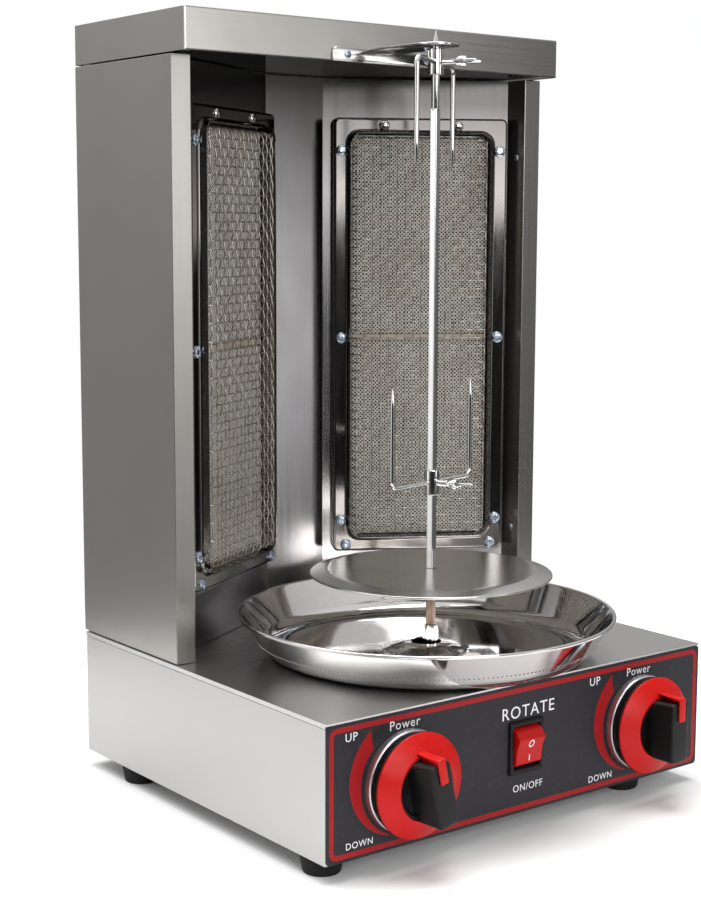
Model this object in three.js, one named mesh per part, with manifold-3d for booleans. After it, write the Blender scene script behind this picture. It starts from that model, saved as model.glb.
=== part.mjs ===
// Countertop vertical broiler: a turning spit in front of two gas infrared burners.
// Millimetres. X to the right, Y to the back, Z up. The design frame has its zero on the
// control panel's face, on the centre line and on the table; the last line of the file
// moves the whole object so that its origin is the middle of its footprint.
import * as THREE from 'three';
import { mergeVertices } from 'three/addons/utils/BufferGeometryUtils.js';
import Module from 'manifold-3d';

const wasm = await Module();
wasm.setup();

// ---------------------------------------------------------------- driving sizes
const gap = 0.3;              // between two pieces that touch
const sheet = 1.2;            // stainless sheet of the casing
const facets = 24;            // sides of an ordinary round piece
const fineFacets = 40;        // sides of the knobs and their bezels
const largeFacets = 72;       // sides of the tray and the meat disc

const baseWidth = 340;
const baseDepth = 300.7;
const baseHeight = 91;
const lidLip = 3;             // fold of the base lid down its sides and back
const footHeight = 12;
const footTopRadius = 14.5;
const footBottomRadius = 12.5;
const footFrontY = 24;
const footBackY = 246;
const footLeftInset = 14.4;    // foot's middle from the base's side
const footRightInset = 54;
const panelThickness = 1;
const panelCorner = 3;

const towerInset = 1.7;       // tower's side from the base's side
const towerDepth = 130.4;
const towerOverhang = 4.7;    // tower's back behind the base's back
const towerHeight = 414.5;
const flangeWidth = 15.6;
const backWallStand = 36.5;   // heat shield in front of the tower's back
const backWallHalf = 26.8;
const returnDepth = 20.5;     // return of the front flange
const hoodOverhang = 18;      // hood in front of the tower
const hoodHeight = 28.2;
const hoodGap = 0.9;

const spitForward = 72;       // axis of spit, disc and tray in front of the tower
const spitSide = 5.4;
const spitTurn = 18.7;        // degrees that the square rod is turned at rest
const spitNeckRadius = 2.8;
const spitNeckLength = 41.5;  // round neck below the bracket's tongue
const spitTipLength = 10.4;   // point above the tongue
const spitStopRadius = 6.5;
const spitStopHeight = 3.7;
const socketWall = 1.16;      // outside the square pocket's corners
const socketHeight = 19;
const socketDepth = 14;
const discRadius = 86.3;
const discFlatRadius = 74.5;
const discRise = 60;          // meat disc above the base
const discHubLength = 13;
const discHubWall = 3.9;
const discDrop = 2.7;
const discSheet = 1.5;
const trayRadius = 134.8;
const trayHeight = 29.8;
const trayFloorRadius = 110.5;
const trayAside = [-2.4, 1.8]; // the loose tray's middle from the spit's axis
const traySheet = 1;
const trayHoleRadius = 11;
const trayDomeRadius = 30;
const trayDomeHeight = 5.5;

const forkReach = 46;
const forkWire = 1.75;
const forkTine = 70;
const collarWall = 1.5;
const collarClearance = 0.28; // round the corners of the square rod
const collarHeight = 18;
const topForkDrop = 1.4;      // collar's top under the bracket's tongue
const topForkTurn = 214;
const bottomForkRise = 62;    // collar's middle above the meat disc
const bottomForkTurn = 193.3;
const screwRadius = 2;
const screwLength = 27;
const wingReach = 9;

const bracketHalf = 49;
const bracketHeight = 10;
const bracketSheet = 1.5;
const tongueHalf = 16;

const frameWidth = 137;
const frameHeight = 340;
const frameStand = 11;        // burner frame's face above the wall
const frameCorner = 4;
const windowCorner = 9;
const frameSheet = 1.2;
const windowWidth = 110.8;
const windowHeight = 315.5;
const windowLip = 6.4;        // rim round the window above the frame's face
const burnerRise = 44.8;      // frame's lower edge above the base
const burnerAlong = 75.7;     // burner's middle from the back corner of its wall
const plaqueWidth = 106;
const plaqueHeight = 152.6;
const plaqueThickness = 12;
const plaqueStand = 5;
const seamHeight = 5;
const meshStand = 18.6;
const meshSheet = 1.6;
const plenumDepth = 34;
const plenumSheet = 1.2;
const venturiRadius = 11;
const venturiDrop = 31;       // bell's mouth below the base's top
const jetRadius = 5;
const jetDrop = 32;           // foot of the jet below the bell's mouth
const jetHeight = 16;
const gasTubeRadius = 3;
const gasTubeDrop = 13;       // level run of the tube below the jet

const knobX = 107.4;
const knobDrop = 47;          // knob's middle below the base's top
const knobRadius = 34.5;
const knobRingInner = 21;
const knobBackY = -11.3;      // back of the knob's skirt
const knobRingDepth = 8.3;
const knobRingSheet = 1.6;
const knobReach = 41.2;       // from the panel's face to the front of the pointer
const gripHalfWidth = 7.8;
const gripHalfHeight = 22.2;
const leftKnobTurn = 12;      // degrees that the left knob is turned at rest
const bezelRadius = 33.6;
const bezelDepth = 6;
const bezelFace = 9;          // width of the bezel's front face
const pointerHalf = 3;
const pointerSheet = 2.6;
const stemRadius = 4;
const valveRadius = 11;
const valveBackY = 44;
const manifoldY = 34;
const manifoldDrop = 18;      // rail below the taps
const manifoldRadius = 7;
const supplyX = -60;
const supplyRadius = 6;
const inletReach = 24;        // hose nozzle behind the base

const switchX = -3;
const switchDrop = 44.4;      // switch's middle below the base's top
const bezelHalfWidth = 15.5;
const bezelHalfHeight = 18.3;
const switchStand = 2.5;
const switchBodyDepth = 22;
const rockerHalfWidth = 11.7;
const rockerRadius = 14.2;
const rockerPivotY = 4.5;
const rockerTilt = 12;        // degrees from level, with the lower end pressed in

const motorRadius = 30;
const motorDrop = 13;         // motor's top below the base's top
const motorHeight = 52;
const glandX = 105;
const glandDrop = 58;         // gland below the base's top
const glandReach = 14;

const backSlotHalf = 18;      // three air slots high in the base's back
const backSlotHeight = 5;
const backSlotDrop = 26;
const backSlotPitch = 50;
const backSlotMiddle = 22;
const bottomSlotXs = [-100, -60, 60];
const bottomSlotYs = [60, 80, 100, 200, 220];
const bottomSlotHalf = 14;
const bottomSlotHeight = 5;
const towerSlotRows = 8;
const towerSlotPitch = 40;
const towerSlotRise = 60;     // lowest slot above the base
const towerSlotMiddle = 85;   // slot's middle from the centre line
const towerSlotHalf = 35;
const towerSlotHeight = 6;

// ---------------------------------------------------------------- places that follow
const baseBottom = footHeight;
const baseTop = footHeight + baseHeight;
const halfBase = baseWidth / 2;
const footLeftX = -halfBase + footLeftInset;
const footRightX = halfBase - footRightInset;
const halfTower = halfBase - towerInset;
const towerBackY = baseDepth + towerOverhang;
const towerFrontY = towerBackY - towerDepth;
const backWallY = towerBackY - backWallStand;
const burnerWallFrontY = towerFrontY + returnDepth;
const hoodFrontY = towerFrontY - hoodOverhang;
const spitY = towerFrontY - spitForward;
const towerTop = baseTop + towerHeight;
const hoodBottom = towerTop + hoodGap;
const hoodTop = hoodBottom + hoodHeight;
const hoodBackY = towerBackY + 0.2;
const returnX = halfTower - flangeWidth;
const linerX = returnX + sheet + gap;
const wallSlope = (backWallY - burnerWallFrontY) / (returnX - backWallHalf);
const wallAngle = Math.atan(wallSlope);
const linerCornerY = backWallY - (linerX - backWallHalf) * wallSlope;
const returnEndY = linerCornerY - 2 * gap;
const shellFrontY = panelThickness + gap;
const tongueZ = hoodBottom + bracketHeight - bracketSheet;
const spitNeckZ = tongueZ - spitNeckLength;
const spitTipZ = tongueZ + spitTipLength;
const socketTopZ = baseTop + socketHeight;
const discTopZ = baseTop + discRise;
const trayRimZ = baseTop + trayHeight;
const collarBore = spitSide * Math.SQRT1_2 + collarClearance;
const collarRadius = collarBore + collarWall;
const pocketHalf = spitSide / 2 + gap;
const socketRadius = pocketHalf * Math.SQRT2 + socketWall;
const topForkZ = tongueZ - topForkDrop - collarHeight / 2;
const bottomForkZ = discTopZ + bottomForkRise;
const burnerCentreZ = baseTop + burnerRise + frameHeight / 2;
const venturiBellZ = baseTop - venturiDrop;
const jetBottomZ = venturiBellZ - jetDrop;
const gasTubeZ = jetBottomZ - gasTubeDrop;
const knobZ = baseTop - knobDrop;
const manifoldZ = knobZ - manifoldDrop;
const switchZ = baseTop - switchDrop;
const motorTopZ = baseTop - motorDrop;
const motorBottomZ = motorTopZ - motorHeight;
const glandZ = baseTop - glandDrop;
const degree = Math.PI / 180;

// ---------------------------------------------------------------- solids
function toSolid(geometry) {
  const bare = geometry.clone();
  bare.deleteAttribute('normal');
  bare.deleteAttribute('uv');
  const merged = mergeVertices(bare, 1e-4);
  const places = merged.attributes.position.array;
  const corners = Array.from(merged.index.array);
  const kept = [];
  let volume = 0;
  const at = (i) => new THREE.Vector3().fromArray(places, 3 * i);
  for (let i = 0; i < corners.length; i += 3) {
    const [a, b, c] = corners.slice(i, i + 3);
    if (a === b || b === c || a === c) continue;
    kept.push([a, b, c]);
    volume += at(a).dot(at(b).cross(at(c)));
  }
  const ordered = volume < 0 ? kept.map(([a, b, c]) => [a, c, b]) : kept;
  const mesh = new wasm.Mesh({
    numProp: 3,
    vertProperties: new Float32Array(places),
    triVerts: new Uint32Array(ordered.flat()),
  });
  return new wasm.Manifold(mesh);
}

function toGeometry(solid) {
  const mesh = solid.getMesh();
  const geometry = new THREE.BufferGeometry();
  geometry.setAttribute('position', new THREE.BufferAttribute(mesh.vertProperties, 3));
  geometry.setIndex(new THREE.BufferAttribute(mesh.triVerts, 1));
  geometry.computeVertexNormals();
  return geometry;
}

// The same shape with its doubled corners merged and its faces pointing out.
function outwards(geometry) {
  return toGeometry(toSolid(geometry));
}

function join(first, ...rest) {
  return toGeometry(rest.reduce((sum, piece) => sum.add(toSolid(piece)), toSolid(first)));
}

function cut(first, ...rest) {
  return toGeometry(rest.reduce((sum, piece) => sum.subtract(toSolid(piece)), toSolid(first)));
}

function common(first, second) {
  return toGeometry(toSolid(first).intersect(toSolid(second)));
}

function block(x0, x1, y0, y1, z0, z1) {
  const geometry = new THREE.BoxGeometry(x1 - x0, y1 - y0, z1 - z0);
  return geometry.translate((x0 + x1) / 2, (y0 + y1) / 2, (z0 + z1) / 2);
}

function rodZ(x, y, radius, z0, z1, sides = facets, topRadius = radius) {
  const geometry = new THREE.CylinderGeometry(topRadius, radius, z1 - z0, sides);
  return geometry.rotateX(Math.PI / 2).translate(x, y, (z0 + z1) / 2);
}

function rodY(x, z, radius, y0, y1, sides = facets) {
  return new THREE.CylinderGeometry(radius, radius, y1 - y0, sides).translate(x, (y0 + y1) / 2, z);
}

function rodX(y, z, radius, x0, x1, sides = facets) {
  const geometry = new THREE.CylinderGeometry(radius, radius, x1 - x0, sides);
  return geometry.rotateZ(Math.PI / 2).translate((x0 + x1) / 2, y, z);
}

// A profile of [radius, height] points turned about the vertical line through x, y.
function turnedZ(profile, x, y, sides = facets) {
  const points = profile.map(([radius, height]) => new THREE.Vector2(radius, height));
  return outwards(new THREE.LatheGeometry(points, sides)).rotateX(Math.PI / 2).translate(x, y, 0);
}

// A profile of [radius, y] points turned about the front-to-back line through x, z.
function turnedY(profile, x, z, sides = facets) {
  const points = profile.map(([radius, depth]) => new THREE.Vector2(radius, depth));
  return outwards(new THREE.LatheGeometry(points, sides)).translate(x, 0, z);
}

function roundedRectangle(width, height, radius, steps = 3) {
  const shape = new THREE.Shape();
  const [right, top] = [width / 2 - radius, height / 2 - radius];
  shape.absarc(right, top, radius, 0, Math.PI / 2, false);
  shape.absarc(-right, top, radius, Math.PI / 2, Math.PI, false);
  shape.absarc(-right, -top, radius, Math.PI, 1.5 * Math.PI, false);
  shape.absarc(right, -top, radius, 1.5 * Math.PI, 2 * Math.PI, false);
  shape.closePath();
  return new THREE.Shape(shape.getPoints(steps));
}

// An outline drawn in X and Z, made solid from y0 to y1.
function slabY(shape, y0, y1) {
  const options = { depth: y1 - y0, bevelEnabled: false, curveSegments: 6 };
  return new THREE.ExtrudeGeometry(shape, options).rotateX(Math.PI / 2).translate(0, y1, 0);
}

// An outline drawn in X and Y, made solid from z0 to z1.
function slabZ(shape, z0, z1) {
  const options = { depth: z1 - z0, bevelEnabled: false, curveSegments: 6 };
  return new THREE.ExtrudeGeometry(shape, options).translate(0, 0, z0);
}

// The plan of a bent sheet: one face follows the path, the other is side * thickness away.
function bentSheet(path, thickness, side) {
  const points = path.map(([x, y]) => new THREE.Vector2(x, y));
  const normals = points.slice(1).map((point, i) => {
    const along = point.clone().sub(points[i]).normalize();
    return new THREE.Vector2(-along.y, along.x).multiplyScalar(side);
  });
  const far = points.map((point, i) => {
    const before = normals[Math.max(i - 1, 0)];
    const after = normals[Math.min(i, normals.length - 1)];
    const middle = before.clone().add(after).normalize();
    return point.clone().addScaledVector(middle, thickness / middle.dot(after));
  });
  return new THREE.Shape([...points, ...far.reverse()]);
}

// A round wire through the points, with each corner rounded over the given length.
function wire(points, radius, bend, sides = 8, steps = 24) {
  const path = new THREE.CurvePath();
  let from = points[0];
  for (let i = 1; i < points.length - 1; i += 1) {
    const [corner, next] = [points[i], points[i + 1]];
    const into = corner.clone().sub(points[i - 1]).normalize();
    const out = next.clone().sub(corner).normalize();
    const start = corner.clone().addScaledVector(into, -bend);
    const end = corner.clone().addScaledVector(out, bend);
    path.add(new THREE.LineCurve3(from, start));
    path.add(new THREE.QuadraticBezierCurve3(start, corner, end));
    from = end;
  }
  path.add(new THREE.LineCurve3(from, points[points.length - 1]));
  const corners = Array.from({ length: sides }, (_, i) => {
    const angle = 2 * Math.PI * i / sides;
    return new THREE.Vector2(radius * Math.cos(angle), radius * Math.sin(angle));
  });
  return new THREE.ExtrudeGeometry(new THREE.Shape(corners), { steps, extrudePath: path });
}

function finish(color, roughness, metalness) {
  return () => new THREE.MeshStandardMaterial({ color, roughness, metalness });
}

const steel = finish(0xb4b2ae, 0.35, 1);
const polished = finish(0xd0ccc6, 0.12, 1);
const darkSteel = finish(0x5a5652, 0.4, 1);
const zinc = finish(0xc6ccd2, 0.3, 1);
const brass = finish(0xb08d3e, 0.4, 1);
const iron = finish(0x4a4a4c, 0.7, 0.6);
const ceramic = finish(0xd8cbb4, 0.9, 0);
const blackPlastic = finish(0x161616, 0.45, 0);
const redPlastic = finish(0xd52b1e, 0.4, 0);
const overlay = finish(0x36343a, 0.5, 0);
const rubber = finish(0x1c1c1c, 0.9, 0);

const broiler = new THREE.Group();

function add(name, geometry, material, parent = broiler) {
  const mesh = new THREE.Mesh(geometry, material());
  mesh.name = name;
  parent.add(mesh);
  return mesh;
}

// ---------------------------------------------------------------- base
const stemHole = (side, y0, y1) => rodY(side * knobX, knobZ, stemRadius + 2, y0, y1);
const switchCutout = (y0, y1) => {
  const half = [bezelHalfWidth - 1.9 + gap, bezelHalfHeight - 2.5 + gap];
  return block(switchX - half[0], switchX + half[0], y0, y1, switchZ - half[1], switchZ + half[1]);
};

function baseShell() {
  const top = baseTop - lidLip - gap;
  const outer = block(-halfBase, halfBase, shellFrontY, baseDepth, baseBottom, top);
  const inner = block(-halfBase + sheet, halfBase - sheet, shellFrontY + sheet, baseDepth - sheet,
    baseBottom - 1, top + 1);
  const holes = [-1, 1].map((side) => stemHole(side, 0, 10));
  const inletHole = rodY(supplyX, manifoldZ, supplyRadius + gap, baseDepth - 5, baseDepth + 5);
  const glandHole = rodY(glandX, glandZ, 6 + gap, baseDepth - 5, baseDepth + 5);
  const slots = [-1, 0, 1].map((i) => {
    const x = backSlotMiddle + i * backSlotPitch;
    const low = baseTop - backSlotDrop;
    return block(x - backSlotHalf, x + backSlotHalf, baseDepth - 5, baseDepth + 5,
      low, low + backSlotHeight);
  });
  return cut(outer, inner, ...holes, switchCutout(0, 10), inletHole, glandHole, ...slots);
}

const burnerPlace = (side) => {
  const place = new THREE.Group();
  const along = burnerAlong * Math.cos(wallAngle);
  place.position.set(side * (backWallHalf + along), backWallY - along * wallSlope, 0);
  place.rotation.z = -side * wallAngle;
  place.updateMatrixWorld();
  return place;
};
const venturiOffset = sheet + plenumDepth / 2 + 3;
const venturiCentre = (side) => {
  const place = burnerPlace(side);
  return new THREE.Vector3(0, venturiOffset, 0).applyMatrix4(place.matrixWorld);
};

function baseLid() {
  const bottom = baseTop - lidLip;
  const plate = block(-halfBase, halfBase, 0, baseDepth, bottom, baseTop);
  const under = block(-halfBase + sheet, halfBase - sheet, -1, baseDepth - sheet,
    bottom - 1, baseTop - sheet);
  const venturiHoles = [-1, 1].map((side) => {
    const centre = venturiCentre(side);
    return rodZ(centre.x, centre.y, venturiRadius + 3, bottom - 1, baseTop + 1);
  });
  const shaftHole = rodZ(0, spitY, socketRadius + 2.6, bottom - 1, baseTop + 1);
  const panelSpace = block(-halfBase - 1, halfBase + 1, -1, shellFrontY, bottom - 1, baseTop - sheet);
  return cut(plate, under, panelSpace, shaftHole, ...venturiHoles);
}

function bottomPlate() {
  const inset = sheet + gap;
  const plate = block(-halfBase + inset, halfBase - inset, shellFrontY + inset, baseDepth - inset,
    baseBottom, baseBottom + sheet);
  const slots = [];
  for (const x of bottomSlotXs) {
    for (const y of bottomSlotYs) {
      slots.push(block(x - bottomSlotHalf, x + bottomSlotHalf, y, y + bottomSlotHeight,
        baseBottom - 1, baseBottom + sheet + 1));
    }
  }
  return cut(plate, ...slots);
}

function controlPanel() {
  const bottom = baseBottom + 0.6;
  const top = baseTop - sheet - gap;
  const outline = roundedRectangle(baseWidth, top - bottom, panelCorner);
  const plate = slabY(outline, 0, panelThickness).translate(0, 0, (top + bottom) / 2);
  return cut(plate, stemHole(-1, -5, 5), stemHole(1, -5, 5), switchCutout(-5, 5));
}

function foot(x, y) {
  const top = baseBottom - gap;
  const profile = [[0, 0], [footBottomRadius - 1, 0], [footBottomRadius, 1],
    [footTopRadius - 0.4, top - 1], [footTopRadius - 1, top], [0, top]];
  return turnedZ(profile, x, y);
}

add('base_shell', baseShell(), steel);
add('base_lid', baseLid(), steel);
add('base_bottom', bottomPlate(), steel);
add('control_panel', controlPanel(), overlay);
add('foot_front_left', foot(footLeftX, footFrontY), rubber);
add('foot_front_right', foot(footRightX, footFrontY), rubber);
add('foot_back_left', foot(footLeftX, footBackY), rubber);
add('foot_back_right', foot(footRightX, footBackY), rubber);

// ---------------------------------------------------------------- tower and hood
function towerShell() {
  const halfPath = [[returnX, returnEndY], [returnX, towerFrontY], [halfTower, towerFrontY],
    [halfTower, towerBackY]];
  const leftPath = halfPath.map(([x, y]) => [-x, y]);
  const plan = bentSheet([...leftPath, ...halfPath.slice().reverse()], sheet, -1);
  const walls = slabZ(plan, baseTop + gap, towerTop);
  const slots = [];
  for (const side of [-1, 1]) {
    for (let row = 0; row < towerSlotRows; row += 1) {
      const x = side * towerSlotMiddle;
      const z = baseTop + towerSlotRise + row * towerSlotPitch;
      slots.push(block(x - towerSlotHalf, x + towerSlotHalf, towerBackY - 5, towerBackY + 5,
        z, z + towerSlotHeight));
    }
  }
  return cut(walls, ...slots);
}

function heatShield() {
  const halfPath = [[linerX, towerFrontY + 5], [linerX, linerCornerY], [backWallHalf, backWallY]];
  const leftPath = halfPath.map(([x, y]) => [-x, y]);
  const plan = bentSheet([...leftPath, ...halfPath.slice().reverse()], sheet, 1);
  const wall = slabZ(plan, baseTop + gap, towerTop);
  const [halfWidth, halfHeight] = [plenumHalf.x + 2, plenumHalf.z + 2];
  const windows = [-1, 1].map((side) => {
    const window = block(-halfWidth, halfWidth, -10, 10,
      burnerCentreZ - halfHeight, burnerCentreZ + halfHeight);
    return window.applyMatrix4(burnerPlace(side).matrixWorld);
  });
  return cut(wall, ...windows);
}

function hood() {
  const outer = block(-halfTower, halfTower, hoodFrontY, hoodBackY, hoodBottom, hoodTop);
  const inner = block(-halfTower + sheet, halfTower - sheet, hoodFrontY + sheet,
    hoodBackY - sheet, hoodBottom - 1, hoodTop - sheet);
  return cut(outer, inner);
}

function ceilingPlate() {
  const inset = sheet + gap;
  return block(-halfTower + inset, halfTower - inset, hoodFrontY + inset, hoodBackY - inset,
    hoodBottom + gap, hoodBottom + gap + sheet);
}

function spitBracket() {
  const back = hoodFrontY - gap;
  const flange = new THREE.Shape();
  const corner = 8;
  flange.moveTo(-bracketHalf, 0);
  flange.lineTo(bracketHalf, 0);
  flange.absarc(bracketHalf - corner, bracketHeight - corner, corner, 0, Math.PI / 2, false);
  flange.absarc(-bracketHalf + corner, bracketHeight - corner, corner, Math.PI / 2, Math.PI, false);
  const upright = slabY(flange, back - bracketSheet, back).translate(0, 0, hoodBottom);
  const tongue = new THREE.Shape();
  tongue.moveTo(tongueHalf, back);
  tongue.lineTo(-tongueHalf, back);
  tongue.absarc(0, spitY, tongueHalf, Math.PI, 2 * Math.PI, false);
  const level = slabZ(tongue, tongueZ, tongueZ + bracketSheet);
  const hole = rodZ(0, spitY, spitNeckRadius + 0.6, tongueZ - 1, tongueZ + 3);
  return cut(join(upright, level), hole);
}

// ---------------------------------------------------------------- burners
const plenumHalf = {
  x: plaqueWidth / 2 + gap + plenumSheet,
  z: plaqueHeight + seamHeight / 2 + 2 * gap + plenumSheet,
};

add('tower_shell', towerShell(), steel);
add('heat_shield', heatShield(), darkSteel);
add('hood', hood(), steel);
add('ceiling_plate', ceilingPlate(), polished);
add('spit_bracket', spitBracket(), polished);

function burnerFrame() {
  const outline = (inset) => roundedRectangle(frameWidth - 2 * inset, frameHeight - 2 * inset,
    frameCorner - inset);
  const opening = (grow) => roundedRectangle(windowWidth + 2 * grow, windowHeight + 2 * grow,
    windowCorner + grow);
  const pan = cut(
    slabY(outline(0), -frameStand, -gap),
    slabY(outline(frameSheet), -frameStand + frameSheet, 5),
  );
  const lip = slabY(opening(frameSheet), -frameStand - windowLip, -frameStand + frameSheet / 2);
  return cut(join(pan, lip), slabY(opening(0), -20, 5)).translate(0, 0, burnerCentreZ);
}

function plaque(level) {
  const halfWidth = plaqueWidth / 2;
  const centre = burnerCentreZ + level * (seamHeight / 2 + gap + plaqueHeight / 2);
  return block(-halfWidth, halfWidth, -plaqueStand, -plaqueStand + plaqueThickness,
    centre - plaqueHeight / 2, centre + plaqueHeight / 2);
}

function meshCage() {
  const back = -plaqueStand - gap;
  const pillow = (inset, depth) => {
    const width = plaqueWidth - 2 * inset;
    const height = 2 * (plenumHalf.z - plenumSheet) - 2 * inset;
    const rounding = 5;
    const shape = roundedRectangle(width - 2 * rounding, height - 2 * rounding, 7);
    const options = { depth: depth - rounding, bevelEnabled: true, bevelThickness: rounding,
      bevelSize: rounding, bevelSegments: 3, curveSegments: 3 };
    const body = new THREE.ExtrudeGeometry(shape, options).rotateX(Math.PI / 2);
    return body.translate(0, back, 0);
  };
  const depth = meshStand - plaqueStand - gap;
  const shell = cut(pillow(0, depth), pillow(meshSheet, depth - meshSheet));
  const front = block(-200, 200, -60, back, -300, 300);
  return common(shell, front).translate(0, 0, burnerCentreZ);
}

function plenum() {
  const front = -plaqueStand + 1;
  const { x: halfX, z: halfZ } = plenumHalf;
  const back = plaqueThickness - plaqueStand + plenumDepth - 12;
  const shell = block(-halfX, halfX, front, back, -halfZ, halfZ);
  const [innerX, innerZ] = [halfX - plenumSheet, halfZ - plenumSheet];
  const hollow = block(-innerX, innerX, front - 1, back - plenumSheet, -innerZ, innerZ);
  const ledgeY = plaqueThickness - plaqueStand + gap;
  const ledge = cut(
    block(-innerX - 0.5, innerX + 0.5, ledgeY, ledgeY + plenumSheet, -innerZ - 0.5, innerZ + 0.5),
    block(-innerX + 4, innerX - 4, ledgeY - 1, ledgeY + 3, -innerZ + 4, innerZ - 4),
  );
  const seam = block(-innerX - 0.5, innerX + 0.5, -plaqueStand, ledgeY + plenumSheet,
    -seamHeight / 2, seamHeight / 2);
  const body = join(cut(shell, hollow), ledge, seam);
  const mouth = rodZ(0, venturiOffset, venturiRadius + gap, -halfZ - 5, -halfZ + 5);
  return cut(body, mouth).translate(0, 0, burnerCentreZ);
}

function venturi() {
  const top = burnerCentreZ - plenumHalf.z + plenumSheet + 3;
  const wall = 1.2;
  const outer = [[venturiRadius, top], [venturiRadius, baseTop - 6],
    [venturiRadius - 2, baseTop - 14], [venturiRadius + 2, venturiBellZ]];
  const inner = outer.map(([radius, z]) => [radius - wall, z]).reverse();
  const tube = turnedZ([...outer, ...inner, outer[0]], 0, venturiOffset);
  const strapX = venturiRadius + 0.6;
  const straps = [-1, 1].map((side) => block(Math.min(side * strapX, side * (strapX - wall)),
    Math.max(side * strapX, side * (strapX - wall)),
    venturiOffset - 4, venturiOffset + 4, jetBottomZ + 4, venturiBellZ + 6));
  const seat = block(-strapX, strapX, venturiOffset - 4 - jetRadius, venturiOffset + 4 + jetRadius,
    jetBottomZ + 4, jetBottomZ + 6);
  const bore = rodZ(0, venturiOffset, jetRadius + gap, 0, venturiBellZ - 2);
  const throat = rodZ(0, venturiOffset, venturiRadius - 3.2, venturiBellZ - 4, top + 2);
  return cut(join(tube, ...straps, seat), bore, throat);
}

function jet() {
  const top = jetBottomZ + jetHeight;
  const profile = [[0, jetBottomZ], [jetRadius, jetBottomZ], [jetRadius, top - 5],
    [jetRadius - 2, top], [0, top]];
  return turnedZ(profile, 0, venturiOffset, 12);
}

for (const [side, word] of [[-1, 'left'], [1, 'right']]) {
  const place = burnerPlace(side);
  broiler.add(place);
  add(`burner_frame_${word}`, burnerFrame(), darkSteel, place);
  add(`upper_plaque_${word}`, plaque(1), ceramic, place);
  add(`lower_plaque_${word}`, plaque(-1), ceramic, place);
  add(`wire_mesh_${word}`, meshCage(), darkSteel, place);
  add(`plenum_${word}`, plenum(), steel, place);
  add(`venturi_${word}`, venturi(), steel, place);
  add(`gas_jet_${word}`, jet(), brass, place);
}

// ---------------------------------------------------------------- gas line
function gasManifold() {
  const end = knobX + 18;
  const rail = rodX(manifoldY, manifoldZ, manifoldRadius, -end, end);
  const supply = rodY(supplyX, manifoldZ, supplyRadius, manifoldY, baseDepth - sheet - 8);
  return join(rail, supply);
}

function gasInlet() {
  const start = baseDepth - sheet - 8 + gap;
  const wallBack = baseDepth + gap;
  const end = baseDepth + inletReach;
  const body = supplyRadius - 0.2;
  const profile = [[0, start], [body, start], [body, wallBack], [10, wallBack],
    [10, wallBack + 7], [5.6, wallBack + 8]];
  for (let barb = 0; barb < 3; barb += 1) {
    const y = wallBack + 9 + barb * 4;
    profile.push([4.8, y], [5.6, y + 2.6]);
  }
  profile.push([4.2, end], [2.4, end], [2.4, start + 6], [0, start + 6]);
  return turnedY(profile, supplyX, manifoldZ, 16);
}

function gasValve(side) {
  const x = side * knobX;
  const body = rodY(x, knobZ, valveRadius, shellFrontY + sheet + 2, valveBackY);
  const saddle = block(x - 8, x + 8, manifoldY - 8, manifoldY + 8, manifoldZ + 4, knobZ);
  const outlet = rodY(x, knobZ, 5.5, valveBackY - 1, valveBackY + 8, 12);
  const solid = join(body, saddle, outlet);
  const railSpace = rodX(manifoldY, manifoldZ, manifoldRadius + gap, x - 20, x + 20);
  const stemBore = rodY(x, knobZ, stemRadius + gap, 0, 27);
  return cut(solid, railSpace, stemBore);
}

function gasTube(side) {
  const x = side * knobX;
  const end = venturiCentre(side);
  const points = [
    new THREE.Vector3(x, valveBackY + 8 + gap, knobZ),
    new THREE.Vector3(x, valveBackY + 42, knobZ),
    new THREE.Vector3(x, valveBackY + 80, gasTubeZ),
    new THREE.Vector3(end.x, end.y, gasTubeZ),
    new THREE.Vector3(end.x, end.y, jetBottomZ - gap),
  ];
  return wire(points, gasTubeRadius, 8, 6, 34);
}

add('gas_manifold', gasManifold(), iron);
add('gas_inlet', gasInlet(), brass);

// ---------------------------------------------------------------- knobs and valves
function bezel(x) {
  const back = -gap;
  const front = back - bezelDepth;
  const hole = stemRadius + 4;
  const profile = [[hole, back], [bezelRadius, back], [bezelRadius, front + 1],
    [bezelRadius - 1, front], [bezelRadius - bezelFace, front],
    [bezelRadius - bezelFace - 1, back - sheet], [hole, back - sheet], [hole, back]];
  return turnedY(profile, x, knobZ, fineFacets);
}

function valveStem(x) {
  return rodY(x, knobZ, stemRadius, knobBackY - 9, 22, 16);
}

// The black knob: a skirt, a cone under the red ring, a recess and the grip that crosses it.
function knobGrip() {
  const ringBack = knobBackY - 2;
  const coneTop = ringBack - knobRingDepth + knobRingSheet;
  const ringTop = ringBack - gap - knobRingDepth;
  const inner = knobRingInner - gap;
  const body = turnedY([[0, knobBackY], [knobRadius - 0.3, knobBackY], [knobRadius - 0.3, ringBack],
    [knobRadius - 2.2, ringBack], [inner, coneTop], [inner - 2, coneTop],
    [inner - 3, ringBack - 4], [0, ringBack - 4]], 0, 0, fineFacets);
  const front = -knobReach + 1.7;
  const grip = new THREE.Shape();
  grip.moveTo(-gripHalfWidth - 2.6, ringBack);
  grip.lineTo(gripHalfWidth + 2.6, ringBack);
  grip.lineTo(gripHalfWidth + 1.8, ringTop - 2);
  grip.lineTo(gripHalfWidth, front);
  grip.lineTo(-gripHalfWidth, front);
  grip.lineTo(-gripHalfWidth - 1.8, ringTop - 2);
  grip.closePath();
  const bar = slabZ(grip, -gripHalfHeight, gripHalfHeight);
  const root = turnedY([[0, ringBack + 1], [inner - 0.5, ringBack + 1], [inner - 0.5, ringTop - gap],
    [gripHalfHeight, ringTop - 1], [gripHalfHeight, front - 1], [0, front - 1]], 0, 0, fineFacets);
  const bore = rodY(0, 0, stemRadius + gap, knobBackY - 9 - gap, 5, 16);
  return cut(join(body, common(bar, root)), bore);
}

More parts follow.
